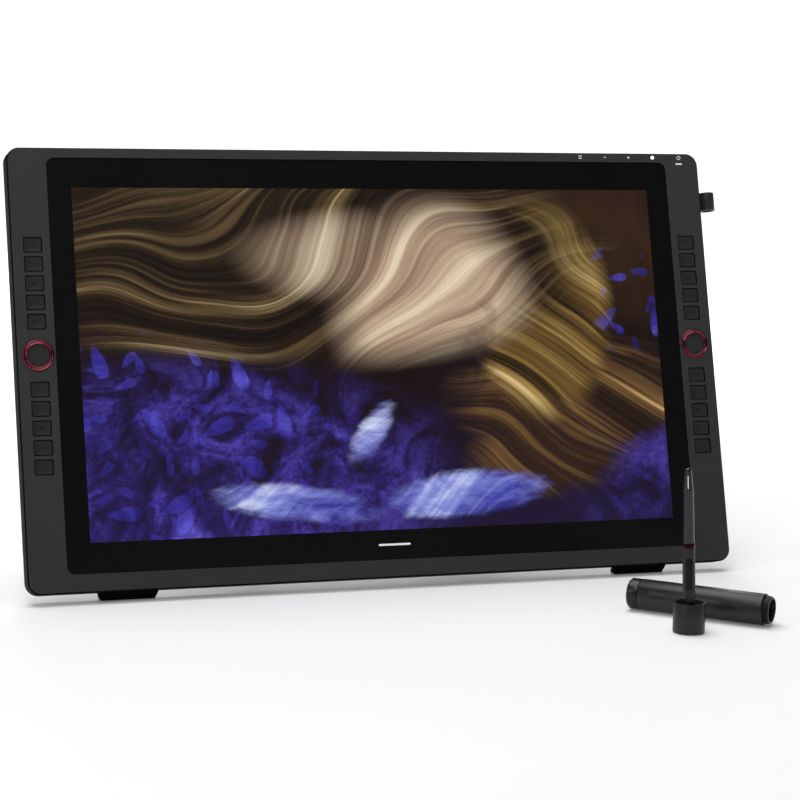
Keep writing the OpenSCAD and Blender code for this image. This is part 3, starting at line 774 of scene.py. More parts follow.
@dataclass
class Assembly:
    """A sub-assembly: some of the CAD bodies, each node dressed in its slot's finish or in its own.

    Fields:
        bodies: its bodies.
        edges: how far a node's edges are rounded, by node.
        own: finishes in place of the slot's, by node.
    """

    bodies: tuple[str, ...] = ()
    edges: Mapping[str, float] = field(default_factory=dict)
    own: Mapping[str, Any] = field(default_factory=dict)

    def nodes(self) -> list[str]:
        """The names of its CAD nodes."""
        groups = frame["record"]["behaviour"]["bodies"]
        return [node for body in self.bodies for node in groups[body]]

    def dress_nodes(self, finishes: Mapping[str, bpy.types.Material]) -> None:
        """Dresses every CAD node.

        Args:
            finishes: the shared materials, by material slot.
        """
        slots = {entry["node"]: entry["material_slot"] for entry in frame["record"]["subparts"]}
        for node in self.nodes():
            own = self.own.get(node)
            finish = own.material(f"{node}_finish") if own else finishes[slots[node]]
            dress(node, finish, self.edges.get(node, 0.0))

    def add_pieces(self, finishes: Mapping[str, bpy.types.Material]) -> None:
        """Builds its new pieces. Most sub-assemblies have none.

        Args:
            finishes: the shared materials, by material slot.
        """

    def build(self, finishes: Mapping[str, bpy.types.Material]) -> None:
        """Dresses its nodes and builds its new pieces.

        Args:
            finishes: the shared materials, by material slot.
        """
        self.dress_nodes(finishes)
        self.add_pieces(finishes)
        log.info("finished %s", type(self).__name__)


def finish_piece(piece: bpy.types.Object, body: str, material: bpy.types.Material,
                 replaces: Sequence[str] = ()) -> None:
    """Gives a new piece its finish, parents it to its body and hides the CAD nodes it stands for.

    Args:
        piece: the new object.
        body: the CAD body it rides on.
        material: its finish.
        replaces: the CAD nodes it stands for.
    """
    piece.data.materials.append(material)
    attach(piece, body)
    if replaces:
        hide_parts(*replaces)
    log.info("built %s, %d faces", piece.name, len(piece.data.polygons))


# ---------------------------------------------------------------- the picture

@dataclass(frozen=True)
class Picture:
    """A made-up picture for the screen: golden silk blown over violet petals at night.

    Fields:
        width: the picture's width, in metres.
        height: its height.
        centre_z: its middle above the middle of the face.
        glow: how bright it is.
    """

    width: float = 476.06 * MM
    height: float = 267.78 * MM
    centre_z: float = 3.125 * MM
    glow: float = 1.0

    def blob(self, x: Signal, y: Signal, at: tuple[float, float], size: tuple[float, float],
             soft: float) -> Signal:
        """A soft oval: 1 inside, 0 past its rim, by the squared distance over its half-sizes.

        Args:
            x: place across, in picture heights.
            y: place up, in picture heights.
            at: its middle.
            size: its half-sizes.
            soft: how far in from the rim it starts to fade.

        Returns:
            The oval's mask.
        """
        dx, dy = (x - at[0]) / size[0], (y - at[1]) / size[1]
        return (dx * dx + dy * dy).step(1.0, 1.0 - soft)

    def silk(self, s: Shader, x: Signal, y: Signal, bend: float, lift: float,
             threads: float, seed: float) -> Signal:
        """Strands along a swept curve: noise drawn out along x and packed close across it.

        Args:
            s: the shader.
            x: place across, in picture heights.
            y: place up, in picture heights.
            bend: how much the curve swings.
            lift: its slope.
            threads: strands across one picture height.
            seed: shifts the pattern.

        Returns:
            The strands, 0 to 1.
        """
        sway = s.noise(s.point(x * 0.9, y * 1.1, seed), 1.6, 1.0)
        across = y + (x * 2.1 + seed).sine() * bend + x * lift + (sway - 0.5) * 0.55
        body = s.noise(s.point(x * 0.7, across * (threads * 0.16), seed + 3.0), 1.0, 2.0, 0.5)
        fine = s.noise(s.point(x * 1.3, across * threads, seed + 7.0), 1.0, 4.0, 0.62)
        return (body * 0.62 + fine * 0.38).step(0.26, 0.74)

    def petals(self, s: Shader, x: Signal, y: Signal, density: float, turn: float) -> Signal:
        """Leaf shapes: in each cell of a scattered grid, an oval turned by the cell's own chance.

        Args:
            s: the shader.
            x: place across, in picture heights.
            y: place up, in picture heights.
            density: cells along one picture height.
            turn: shifts every leaf's turn.

        Returns:
            1 on a leaf, falling to 0 at its rim.
        """
        at = s.point(x, y, 0.0)
        cell = s.node("ShaderNodeTexVoronoi", {"voronoi_dimensions": "2D", "feature": "F1"},
                      {"Vector": at, "Scale": density, "Randomness": 0.9})
        px, py, _ = s.parts(cell.outputs["Position"])
        chance, other, _ = s.parts(cell.outputs["Color"])
        dx, dy = x - px, y - py
        angle = chance * 3.0 + turn
        c, sn = angle.cosine(), angle.sine()
        along = (dx * c + dy * sn) * (density / 0.42)
        side = (dy * c - dx * sn) * (density / 0.15)
        wide = side / (1.1 - along * 0.55)
        oval = along * along + wide * wide
        return oval.step(1.0, 0.55) * other.step(0.32, 0.36)

    def colours(self, s: Shader, x: Signal, y: Signal) -> bpy.types.NodeSocket:
        """Paints the picture, layer over layer.

        Args:
            s: the shader.
            x: place across, in picture heights, from the left edge.
            y: place up, in picture heights, from the bottom edge.

        Returns:
            The picture's colour.
        """
        at = s.point(x, y, 0.0)
        mist = s.noise(at, 2.6, 5.0, 0.6, 0.8)
        haze = s.noise(at, 6.0, 4.0, 0.6, 1.2)
        fleck = s.noise(at, 60.0, 3.0, 0.7)
        picture = s.ramp(mist * 0.35 + y * 0.65, (
            (0.12, tint(30, 20, 60)), (0.30, tint(26, 15, 30)), (0.50, tint(22, 10, 9)),
            (0.72, tint(52, 34, 20)), (0.86, tint(40, 20, 22))))
        low_left = self.blob(x, y, (0.20, 0.14), (1.05, 0.42), 0.8)
        low_right = self.blob(x, y, (1.75, 0.16), (0.36, 0.30), 0.9)
        violet = low_left.most(low_right * 0.7) * haze.step(0.30, 0.60)
        picture = s.mix(violet, picture, s.ramp(haze * 0.7 + fleck * 0.3, (
            (0.34, tint(20, 12, 44)), (0.50, tint(46, 33, 108)), (0.64, tint(78, 65, 168)),
            (0.78, tint(128, 118, 212)))))
        leaf = (self.petals(s, x, y, 7.5, 0.6) * 0.85).most(self.petals(s, x + 3.0, y, 13.0, 1.4) * 0.6)
        leaf_area = self.blob(x, y, (0.26, 0.28), (0.52, 0.34), 0.35).most(
            self.blob(x, y, (1.66, 0.66), (0.16, 0.18), 0.4))
        picture = s.mix(leaf * leaf_area, picture, s.ramp(haze, (
            (0.35, tint(34, 26, 98)), (0.50, tint(56, 47, 150)), (0.68, tint(100, 92, 212)))))
        dusk = self.silk(s, x, y, 0.10, 0.30, 54.0, 4.0)
        veil = (self.blob(x, y, (1.50, 0.38), (0.46, 0.20), 0.85)
                .most(self.blob(x, y, (1.40, 0.20), (0.30, 0.14), 0.9) * 0.8))
        picture = s.mix((veil * 1.6 * mist.step(0.20, 0.55)).least(1.0), picture, s.ramp(dusk, (
            (0.10, tint(16, 8, 6)), (0.50, tint(52, 34, 24)), (0.78, tint(112, 84, 48)),
            (1.00, tint(204, 168, 112)))))
        feather = self.silk(s, y * 1.4, x, 0.16, 0.55, 50.0, 11.0)
        plume = self.blob(x, y, (1.40, 0.64), (0.25, 0.36), 0.7)
        picture = s.mix((plume * 1.5 * mist.step(0.22, 0.5)).least(1.0), picture, s.ramp(feather, (
            (0.12, tint(26, 16, 8)), (0.48, tint(108, 82, 40)), (0.78, tint(168, 140, 82)),
            (1.00, tint(232, 208, 150)))))
        strands = self.silk(s, x, y, 0.17, -0.12, 64.0, 1.0)
        sweep = self.blob(x, y, (0.66, 0.80), (1.04, 0.36), 0.7)
        heart = (self.blob(x, y, (1.06, 0.62), (0.36, 0.40), 0.95)
                 .most(self.blob(x, y, (0.86, 0.80), (0.44, 0.16), 0.95) * 0.55))
        picture = s.mix((sweep * 1.3 * mist.step(0.16, 0.42)).least(1.0), picture, s.mix(
            (heart * 1.25).least(1.0), s.ramp(strands, (
                (0.20, tint(18, 11, 8)), (0.50, tint(40, 28, 16)), (0.78, tint(94, 76, 50)),
                (1.00, tint(186, 166, 124)))), s.ramp(strands, (
                    (0.05, tint(104, 78, 60)), (0.40, tint(172, 146, 122)), (0.72, tint(212, 192, 164)),
                    (1.00, tint(250, 240, 212))))))
        shard = self.silk(s, x, y, 0.05, -0.45, 26.0, 21.0)
        frost = s.noise(s.point(x * 1.5, y * 4.0, 5.0), 5.0, 4.0, 0.65, 0.6)
        ice = (self.blob(x, y - x * 0.05, (1.13, 0.04), (0.34, 0.09), 1.0)
               .most(self.blob(x, y + x * 0.12, (0.62, 0.16), (0.36, 0.07), 1.0) * 0.8)
               .most(self.blob(x, y - x * 0.9, (0.84, -0.48), (0.10, 0.09), 1.0) * 0.7))
        picture = s.mix((ice * 0.75 + frost * 0.55 + shard * 0.22).step(0.52, 1.05) * ice.step(0.0, 0.2),
                        picture, s.ramp(shard * 0.5 + frost * 0.5, (
                            (0.30, tint(60, 60, 160)), (0.55, tint(134, 142, 216)),
                            (0.80, tint(232, 240, 255)))))
        return picture

    def material(self, name: str) -> bpy.types.Material:
        """Makes the cover glass's material: black border, and the picture glowing through.

        Args:
            name: the material's name.

        Returns:
            The material.
        """
        s = Shader(name)
        turn = math.atan2(PANEL.into.z, PANEL.into.y)
        start = PANEL.moved(-self.width / 2, 0.0, self.centre_z - self.height / 2).origin
        unturned = Matrix.Rotation(-turn, 3, "X") @ start
        size = 1.0 / self.height
        local = s.mapped(rotation=(-turn, 0.0, 0.0), location=tuple(-unturned * size), scale=(size,) * 3)
        x, _, y = s.parts(local)
        ratio, edge = self.width / self.height, 0.0012
        inside = (x.step(0.0, edge) * x.step(ratio, ratio - edge)
                  * y.step(0.0, edge) * y.step(1.0, 1.0 - edge))
        etch = s.noise(s.place(), 5200.0, 1.0)
        smudge = s.noise(s.place(), 14.0, 4.0, 0.6)
        base = s.mix(smudge * 0.5, (0.0022, 0.0022, 0.0024), (0.0036, 0.0036, 0.0040))
        return s.surface(
            Base_Color=base, Roughness=smudge * 0.10 + etch * 0.06 + 0.20, Specular_IOR_Level=0.22,
            Emission_Color=s.mix(inside, (0.0, 0.0, 0.0), self.colours(s, x, y)),
            Emission_Strength=self.glow, Normal=s.bump(etch, 0.000004))


# ---------------------------------------------------------------- the display

@dataclass
class Keys(Assembly):
    """The twenty keys: each a dished cap with a rounded rim, on a flange and a stem.

    Fields:
        bodies: one body for each key.
        dish: how far the middle of a cap is sunk.
        rim: the rounding of a cap's rim.
        radius: a cap's corner radius, seen from the front.
        dotted: the keys with a raised dot, by number.
        dot_r: a dot's radius.
        dot_h: how far a dot stands out of the dish.
        inset: how far the cap's side is inside the flange's.
        flange: the flange's front and back, behind the face.
        stem: half the stem's side.
        dot_shaded_finish: the dots' finish, darker than the keys' as painted shade.
    """

    bodies: tuple[str, ...] = tuple(f"key_{side}_{n}" for side in ("left", "right") for n in range(1, 11))
    dish: float = 1.25 * MM
    rim: float = 0.35 * MM
    radius: float = 1.1 * MM
    dotted: tuple[int, ...] = (3, 8)
    dot_r: float = 0.95 * MM
    dot_h: float = 0.55 * MM
    inset: float = 1.15 * MM
    flange: tuple[float, float] = (1.80 * MM, 2.60 * MM)
    stem: float = 2.0 * MM
    # Painted shade: the dots are darker than the keys, for the shade round a raised dot.
    dot_shaded_finish: Moulded = Moulded((0.006, 0.006, 0.006), 0.40)

    def middle(self, node: str) -> Placing:
        """The middle of a key's face."""
        low, high = PANEL.extent(node)
        return PANEL.moved((low[0] + high[0]) / 2, low[1], (low[2] + high[2]) / 2)

    def dot(self, node: str) -> np.ndarray:
        """A dome: circles of radius r sin a at a height h cos a, over a short buried skirt.

        Args:
            node: the CAD key it stands on.

        Returns:
            Rings in the row frame.
        """
        turns = np.linspace(0.08, math.pi / 2, 7)
        loops = [circle_loop(self.dot_r * math.sin(a), 24) for a in turns]
        depths = [self.dish - self.dot_h * math.cos(a) for a in turns]
        return self.middle(node).stack(loops + loops[-1:], depths + [self.dish + 0.1 * MM])

    def cap(self, node: str) -> np.ndarray:
        """A key as a stack of rounded rectangles.

        The face's depth is the rim's plus dish (1 - t^2) for a share t of the way to the rim. The rim
        is a quarter circle, and the side, flange and stem are straight.

        Args:
            node: the CAD key it follows.

        Returns:
            Rings in the row frame.
        """
        low, high = PANEL.extent(node)
        flange_w, flange_h = (high - low)[[0, 2]] / 2
        half_w, half_h = flange_w - self.inset, flange_h - self.inset
        loops, depths = [], []
        for t in (0.06, 0.2, 0.35, 0.5, 0.65, 0.8, 0.9, 1.0):
            w, h = (half_w - self.rim) * t, (half_h - self.rim) * t
            loops.append(rounded_loop(w, h, min(self.radius - self.rim, 0.9 * w, 0.9 * h)))
            depths.append(self.dish * (1.0 - t * t))
        for a in np.linspace(0.0, math.pi / 2, 5)[1:]:
            grow = self.rim * math.sin(a)
            loops.append(rounded_loop(half_w - self.rim + grow, half_h - self.rim + grow,
                                      self.radius - self.rim + grow))
            depths.append(self.rim * (1.0 - math.cos(a)))
        front, back = self.flange
        for w, h, depth in ((half_w, half_h, front - 0.02 * MM), (flange_w, flange_h, front),
                            (flange_w, flange_h, back), (self.stem, self.stem, back + 0.02 * MM),
                            (self.stem, self.stem, high[1] - low[1])):
            loops.append(rounded_loop(w, h, min(self.radius, 0.5 * MM)))
            depths.append(depth)
        return self.middle(node).stack(loops, depths)

    def add_pieces(self, finishes: Mapping[str, bpy.types.Material]) -> None:
        """Builds every key in place of its CAD node, and the raised dots.

        Args:
            finishes: the shared materials, by material slot.
        """
        # The dots get a darker finish as painted shade.
        slot, dot = "key_grey", self.dot_shaded_finish.material("dot_shaded_plastic")
        for node in self.nodes():
            cap = mesh_piece(f"{node}_cap", [closed_skin(self.cap(node))])
            finish_piece(cap, node, finishes[slot], [node])
            if int(node.rsplit("_", 1)[1]) in self.dotted:
                finish_piece(mesh_piece(f"{node}_dot", [closed_skin(self.dot(node))]), node, dot)


@dataclass
class Dials(Assembly):
    """The two ring dials: each ring turned to a rounded, lightly hollowed profile.

    Fields:
        bodies: one body for each ring.
        outer: a ring's outer radius where it shows.
        inner: its bore's radius.
        lip_out: the rounding of its outer lip.
        lip_in: the rounding of its inner lip.
        channel: how deep the hollow between them is.
        flange: the thickness of the flange behind, and how far it stands out.
        steps: points round a ring.
    """

    bodies: tuple[str, ...] = ("dial_ring_left", "dial_ring_right")
    outer: float = 11.8 * MM
    inner: float = 8.6 * MM
    lip_out: float = 0.75 * MM
    lip_in: float = 0.45 * MM
    channel: float = 0.28 * MM
    flange: tuple[float, float] = (1.0 * MM, 0.6 * MM)
    steps: int = 160

    def ring(self, node: str) -> np.ndarray:
        """A ring's profile of (radius, depth), carried round the dial's axis.

        Two half-round lips stand either side of a shallow channel on the front.

        Args:
            node: the CAD ring it follows.

        Returns:
            Rings in the row frame, the last joining the first.
        """
        low, high = PANEL.extent(node)
        place = PANEL.moved((low[0] + high[0]) / 2, low[1], (low[2] + high[2]) / 2)
        lip, lip_in = self.lip_out, self.lip_in
        out_arc = [(self.outer - lip + lip * math.cos(a), lip - lip * math.sin(a))
                   for a in np.linspace(0.0, math.radians(125), 9)]
        in_arc = [(self.inner + lip_in + lip_in * math.cos(a), lip_in - lip_in * math.sin(a))
                  for a in np.linspace(math.radians(55), math.pi, 9)]
        floor = np.linspace(out_arc[-1][0], in_arc[0][0], 7)[1:-1]
        across = (floor - floor.mean()) / (out_arc[-1][0] - in_arc[0][0]) * 2
        rim = max(out_arc[-1][1], in_arc[0][1])
        bowl = [(r, rim + self.channel * (1 - t * t)) for r, t in zip(floor, across)]
        back = high[1] - low[1]
        thick, proud = self.flange
        shape = ([(self.outer, back - thick)] + out_arc + bowl + in_arc
                 + [(self.inner, back), (self.outer + proud, back), (self.outer + proud, back - thick)])
        return place.stack([circle_loop(r, self.steps) for r, _ in shape], [d for _, d in shape])

    def add_pieces(self, finishes: Mapping[str, bpy.types.Material]) -> None:
        """Builds both rings in place of their CAD nodes.

        Args:
            finishes: the shared materials, by material slot.
        """
        for node in self.nodes():
            piece = mesh_piece(f"{node}_turned", [closed_skin(self.ring(node), ends=False)], 35.0)
            finish_piece(piece, node, finishes["ring_red"], [node])


class Sign(Enum):
    """The small plain signs printed along the top edge."""

    LIST = "list"
    LESS = "less"
    MORE = "more"
    SPOT = "spot"
    POWER = "power"


@dataclass
class Printing(Assembly):
    """Thin printed signs on the display's face, and a plain bar under the screen, whose inks glow as painted
    light.

    Fields:
        thick: the ink's thickness.
        line: the width of a sign's lines.
        from_right: each sign's distance from the right edge.
        from_top: their distance below the top edge.
        bar: the bar's width and height.
        bar_up: the bar's height above the glass's lower edge.
        dim: the ordinary ink, glowing as painted light.
        bright: the spot's ink, glowing brighter as painted light.
        mark: the ink of the bar, glowing as painted light.
    """

    thick: float = 0.03 * MM
    line: float = 0.42 * MM
    from_right: Mapping[Sign, float] = field(default_factory=lambda: {
        Sign.LIST: 104.7 * MM, Sign.LESS: 82.9 * MM, Sign.MORE: 61.9 * MM,
        Sign.SPOT: 40.4 * MM, Sign.POWER: 16.8 * MM})
    from_top: float = 3.5 * MM
    bar: tuple[float, float] = (26.0 * MM, 1.5 * MM)
    bar_up: float = 11.3 * MM
    dim: Lit = Lit((0.62, 0.64, 0.66), 0.55)
    bright: Lit = Lit((1.0, 1.0, 1.0), 1.1)
    mark: Lit = Lit((0.72, 0.74, 0.76), 0.45)

    def pill(self, at: Placing, x: float, z: float, w: float, h: float) -> Skin:
        """A flat rounded bar: two equal loops the ink's thickness apart.

        Args:
            at: the sign's placing.
            x: the bar's middle across.
            z: its middle up.
            w: its width.
            h: its height.

        Returns:
            A closed skin.
        """
        loop = rounded_loop(w / 2, h / 2, min(w, h) * 0.49) + np.array([x, z])
        return closed_skin(at.stack([loop, loop], [-self.thick, 0.0]))

    def arc(self, at: Placing, radius: float, gap: float) -> Skin:
        """A flat ring with a gap at its top: a rectangle carried along an arc.

        Args:
            at: the sign's placing.
            radius: the ring's middle radius.
            gap: half of the gap's angle, in radians.

        Returns:
            A closed skin.
        """
        turn = np.linspace(math.pi / 2 + gap, math.pi / 2 + TAU - gap, 40)
        way = np.stack([np.cos(turn), np.zeros_like(turn), np.sin(turn)], 1)
        corners = ((-0.5, -1.0), (0.5, -1.0), (0.5, 0.0), (-0.5, 0.0))
        rings = np.stack([way * (radius + self.line * a) + np.array([0.0, self.thick * b, 0.0])
                          for a, b in corners], 1)
        return closed_skin(at.world(rings))

    def sign(self, kind: Sign, at: Placing) -> list[Skin]:
        """The skins of one sign.

        Args:
            kind: which sign.
            at: its placing.

        Returns:
            Its closed skins.
        """
        if kind is Sign.LIST:
            return [self.pill(at, 0, k * 1.15 * MM, 2.9 * MM, self.line) for k in (-1, 0, 1)]
        if kind is Sign.LESS:
            return [self.pill(at, 0, 0, 2.4 * MM, self.line)]
        if kind is Sign.MORE:
            return [self.pill(at, 0, 0, 2.4 * MM, self.line), self.pill(at, 0, 0, self.line, 2.4 * MM)]
        if kind is Sign.SPOT:
            return [self.pill(at, 0, 0, 3.0 * MM, 2.8 * MM)]
        return [self.arc(at, 1.45 * MM, 0.55), self.pill(at, 0, 1.2 * MM, self.line, 1.5 * MM)]

    def add_pieces(self, finishes: Mapping[str, bpy.types.Material]) -> None:
        """Prints the signs and the bar.

        Args:
            finishes: the shared materials, by material slot.
        """
        # Painted light: the signs' and the bar's printed inks glow.
        dim, bright, mark = (ink.material(name) for ink, name in (
            (self.dim, "glowing_ink_dim"), (self.bright, "glowing_ink_bright"), (self.mark, "glowing_ink_mark")))
        _, high = PANEL.extent("front_frame")
        for kind, inset in self.from_right.items():
            at = PANEL.moved(high[0] - inset, 0.0, high[2] - self.from_top)
            piece = mesh_piece(f"sign_{kind.value}", self.sign(kind, at))
            finish_piece(piece, "display", bright if kind is Sign.SPOT else dim)
        low, _ = PANEL.extent("cover_glass")
        at = PANEL.moved(0.0, low[1], low[2] + self.bar_up)
        piece = mesh_piece("plain_mark", [self.pill(at, 0, 0, *self.bar)])
        finish_piece(piece, "display", mark)


@dataclass
class Display(Assembly):
    """The display: its casings, inner layers and bracket, and its glass with a small rounded edge.

    Fields:
        bodies: its one body.
        edges: the rounding of its casings and metalwork.
        own: its dial hubs' finish, a little darker than the frame.
        glass_edge: the rounding of the glass's edges.
        glass_r: the glass's corner radius.
    """

    bodies: tuple[str, ...] = ("display",)
    edges: Mapping[str, float] = field(default_factory=lambda: {
        "front_frame": 0.30 * MM, "rear_cover": 0.5 * MM, "electronics_cover": 0.5 * MM,
        "front_feet": 0.5 * MM, "rear_pads": 0.4 * MM, "hinge_bracket": 0.4 * MM, "hinge_pins": 0.25 * MM,
        "bracket_screws": 0.2 * MM, "cover_screws": 0.2 * MM})
    own: Mapping[str, Any] = field(default_factory=lambda: {
        "dial_hubs": Moulded((0.030, 0.030, 0.030), 0.55, specular=0.06)})
    glass_edge: float = 0.35 * MM
    glass_r: float = 6.0 * MM

    def sheet(self) -> np.ndarray:
        """The glass as rounded rectangles, from its front over its edge to its back.

        Returns:
            Rings in the row frame.
        """
        low, high = PANEL.extent("cover_glass")
        half_w, half_h = (high - low)[[0, 2]] / 2
        place = PANEL.moved((low[0] + high[0]) / 2, low[1], (low[2] + high[2]) / 2)
        thick = high[1] - low[1]
        loops, depths = [], []
        for a in np.linspace(0.0, math.pi / 2, 5):
            inset = self.glass_edge * (1.0 - math.sin(a))
            loops.append(rounded_loop(half_w - inset, half_h - inset, self.glass_r - inset, 12))
            depths.append(self.glass_edge * (1.0 - math.cos(a)))
        return place.stack(loops + loops[::-1], depths + [thick - d for d in reversed(depths)])

    def add_pieces(self, finishes: Mapping[str, bpy.types.Material]) -> None:
        """Builds the glass in place of its CAD node.

        Args:
            finishes: the shared materials, by material slot.
        """
        piece = mesh_piece("cover_glass_sheet", [closed_skin(self.sheet())])
        finish_piece(piece, "display", finishes["cover_glass"], ["cover_glass"])


# ---------------------------------------------------------------- leg, pen, stand and case

@dataclass
class Leg(Assembly):
    """The folding leg and its rubber foot."""

    bodies: tuple[str, ...] = ("leg",)
    edges: Mapping[str, float] = field(default_factory=lambda: {"stand_leg": 0.8 * MM, "leg_foot": 0.8 * MM})


@dataclass
class PenRing(Assembly):
    """The ring at the display's edge that holds the pen."""

    bodies: tuple[str, ...] = ("pen_holder",)
    edges: Mapping[str, float] = field(default_factory=lambda: {"pen_holder": 0.35 * MM})


def curved_patch(place: Placing, heights: np.ndarray, radii: np.ndarray, half: float,
                 proud: float = 0.04 * MM) -> Skin:
    """A thin curved patch: at each height, an arc just outside a radius and back just inside it.

    Args:
        place: the axes it is round, facing along -y.
        heights: heights along the axis.
        radii: the surface's radius at each height.
        half: half the patch's width.
        proud: how far it stands out.

    Returns:
        A closed skin.
    """
    turn = np.linspace(-1.0, 1.0, 9)
    rings = []
    for height, radius in zip(heights, radii):
        angle = turn * half / radius
        arcs = [np.stack([np.sin(a) * r, -np.cos(a) * r, np.full_like(a, height)], 1)
                for a, r in ((angle, radius + proud), (angle[::-1], radius - proud))]
        rings.append(np.concatenate(arcs))
    return closed_skin(place.world(np.array(rings)))


@dataclass
class Pen(Assembly):
    """The pen, with its nib and rocker, and a plain printed line on its tail that glows as painted light.

    Fields:
        bodies: the pen, its nib and its rocker.
        edges: the rounding of its rocker and band.
        own: its rocker's finish.
        line: the line's lower and upper ends, above the nib's end.
        line_w: the line's width.
        cone: the lower and upper ends of the tail's cone, below the tail's top.
        cone_r: the cone's radius at each.
        ink: the line's ink, glowing as painted light.
    """

    bodies: tuple[str, ...] = ("pen", "pen_nib", "pen_rocker")
    edges: Mapping[str, float] = field(default_factory=lambda: {
        "pen_rocker": 0.35 * MM, "pen_band": 0.08 * MM})
    own: Mapping[str, Any] = field(default_factory=lambda: {
        "pen_rocker": Moulded((0.007, 0.007, 0.007), 0.50, specular=0.15)})
    line: tuple[float, float] = (99.5 * MM, 108.6 * MM)
    line_w: float = 0.62 * MM
    cone: tuple[float, float] = (17.0 * MM, 2.5 * MM)
    cone_r: tuple[float, float] = (3.8 * MM, 2.55 * MM)
    ink: Lit = Lit((0.66, 0.66, 0.66), 0.30)

    def add_pieces(self, finishes: Mapping[str, bpy.types.Material]) -> None:
        """Prints the line on the tail's cone, whose radius falls evenly with height.

        Args:
            finishes: the shared materials, by material slot.
        """
        pen = pen_placing()
        _, high = pen.extent("pen_tail")
        heights = np.linspace(*self.line, 12)
        radii = np.interp(heights, [high[2] - below for below in self.cone], self.cone_r)
        skin = curved_patch(pen, heights, radii, self.line_w / 2)
        # Painted light: the printed line glows.
        finish_piece(mesh_piece("pen_line", [skin]), "pen", self.ink.material("glowing_ink_pen"))


@dataclass
class PenStand(Assembly):
    """The pen stand: a cup with a rubber insert."""

    bodies: tuple[str, ...] = ("pen_stand",)
    edges: Mapping[str, float] = field(default_factory=lambda: {
        "pen_stand_cup": 0.3 * MM, "pen_stand_insert": 0.3 * MM})


@dataclass
class PenCase(Assembly):
    """The pen case: its tube with a plain plate, its liner with a threaded neck, and its end cap.

    Fields:
        bodies: the case and its end cap.
        edges: the rounding of its pieces.
        own: its tube's and its cap's finishes.
        plate: the plate's near and far ends along the case, from its closed end.
        plate_w: the plate's width round the tube.
        plate_finish: the plate's finish.
        pitch: the thread's pitch.
        crest: how far the thread stands out of the neck.
        neck_in: how far the neck is inside the liner's outer radius.
        clear: the neck's bare length before the thread and after it.
    """

    bodies: tuple[str, ...] = ("case", "case_end_cap")
    edges: Mapping[str, float] = field(default_factory=lambda: {
        "case_tube": 0.25 * MM, "case_end_cap": 0.3 * MM, "case_liner": 0.12 * MM})
    own: Mapping[str, Any] = field(default_factory=lambda: {
        # Painted shade: the tube's groove is a near-black line.
        "case_tube": Turned((0.009, 0.009, 0.009), 0.36, specular=0.38, shaded_grooves=(100.6 * MM,)),
        "case_end_cap": Moulded((0.0045, 0.0045, 0.0045), 0.30, specular=0.35)})
    plate: tuple[float, float] = (18.0 * MM, 31.0 * MM)
    plate_w: float = 6.4 * MM
    plate_finish: Moulded = Moulded((0.006, 0.006, 0.006), 0.30, specular=0.3)
    pitch: float = 1.3 * MM
    crest: float = 0.8 * MM
    neck_in: float = 0.35 * MM
    clear: tuple[float, float] = (0.8 * MM, 1.0 * MM)

    def thread(self, case: Placing) -> Skin:
        """The neck's thread: a blunt ridge carried along a helix, fading into the neck at both ends.

        At angle a the ridge stands at height z0 + pitch a / 2 pi, and out of the neck by the crest times
        a share that rises from 0 to 1 over the first and last sixth of a turn.

        Args:
            case: the case's placing.

        Returns:
            A closed skin.
        """
        _, tube = case.extent("case_tube")
        low, high = case.extent("case_liner")
        neck = (high[0] - low[0]) / 2 - self.neck_in
        start, end = tube[2] + self.clear[0], high[2] - self.clear[1]
        turn = np.linspace(0.0, TAU * (end - start) / self.pitch, 120)
        height = start + self.pitch * turn / TAU
        share = np.clip(np.minimum(turn, turn[-1] - turn) / (TAU / 6), 0.0, 1.0)
        foot, top = np.full_like(turn, -0.2 * MM), share * self.crest
        corners = ((foot, -0.55 * MM), (top, -0.18 * MM), (top, 0.18 * MM), (foot, 0.55 * MM))
        rings = [np.stack([(neck + out) * np.cos(turn), (neck + out) * np.sin(turn), height + along], 1)
                 for out, along in corners]
        return closed_skin(case.world(np.stack(rings, 1)))

    def add_pieces(self, finishes: Mapping[str, bpy.types.Material]) -> None:
        """Builds the plate and the thread.

        Args:
            finishes: the shared materials, by material slot.
        """
        case = case_placing()
        low, high = case.extent("case_tube")
        spans = np.linspace(*self.plate, 10)
        skin = curved_patch(case, spans, np.full_like(spans, (high[0] - low[0]) / 2), self.plate_w / 2)
        finish_piece(mesh_piece("case_plate", [skin]), "case",
                     self.plate_finish.material("case_plate_plastic"))
        finish_piece(mesh_piece("case_thread", [self.thread(case)], 30.0), "case",
                     finishes["black_plastic"])


# ---------------------------------------------------------------- the studio

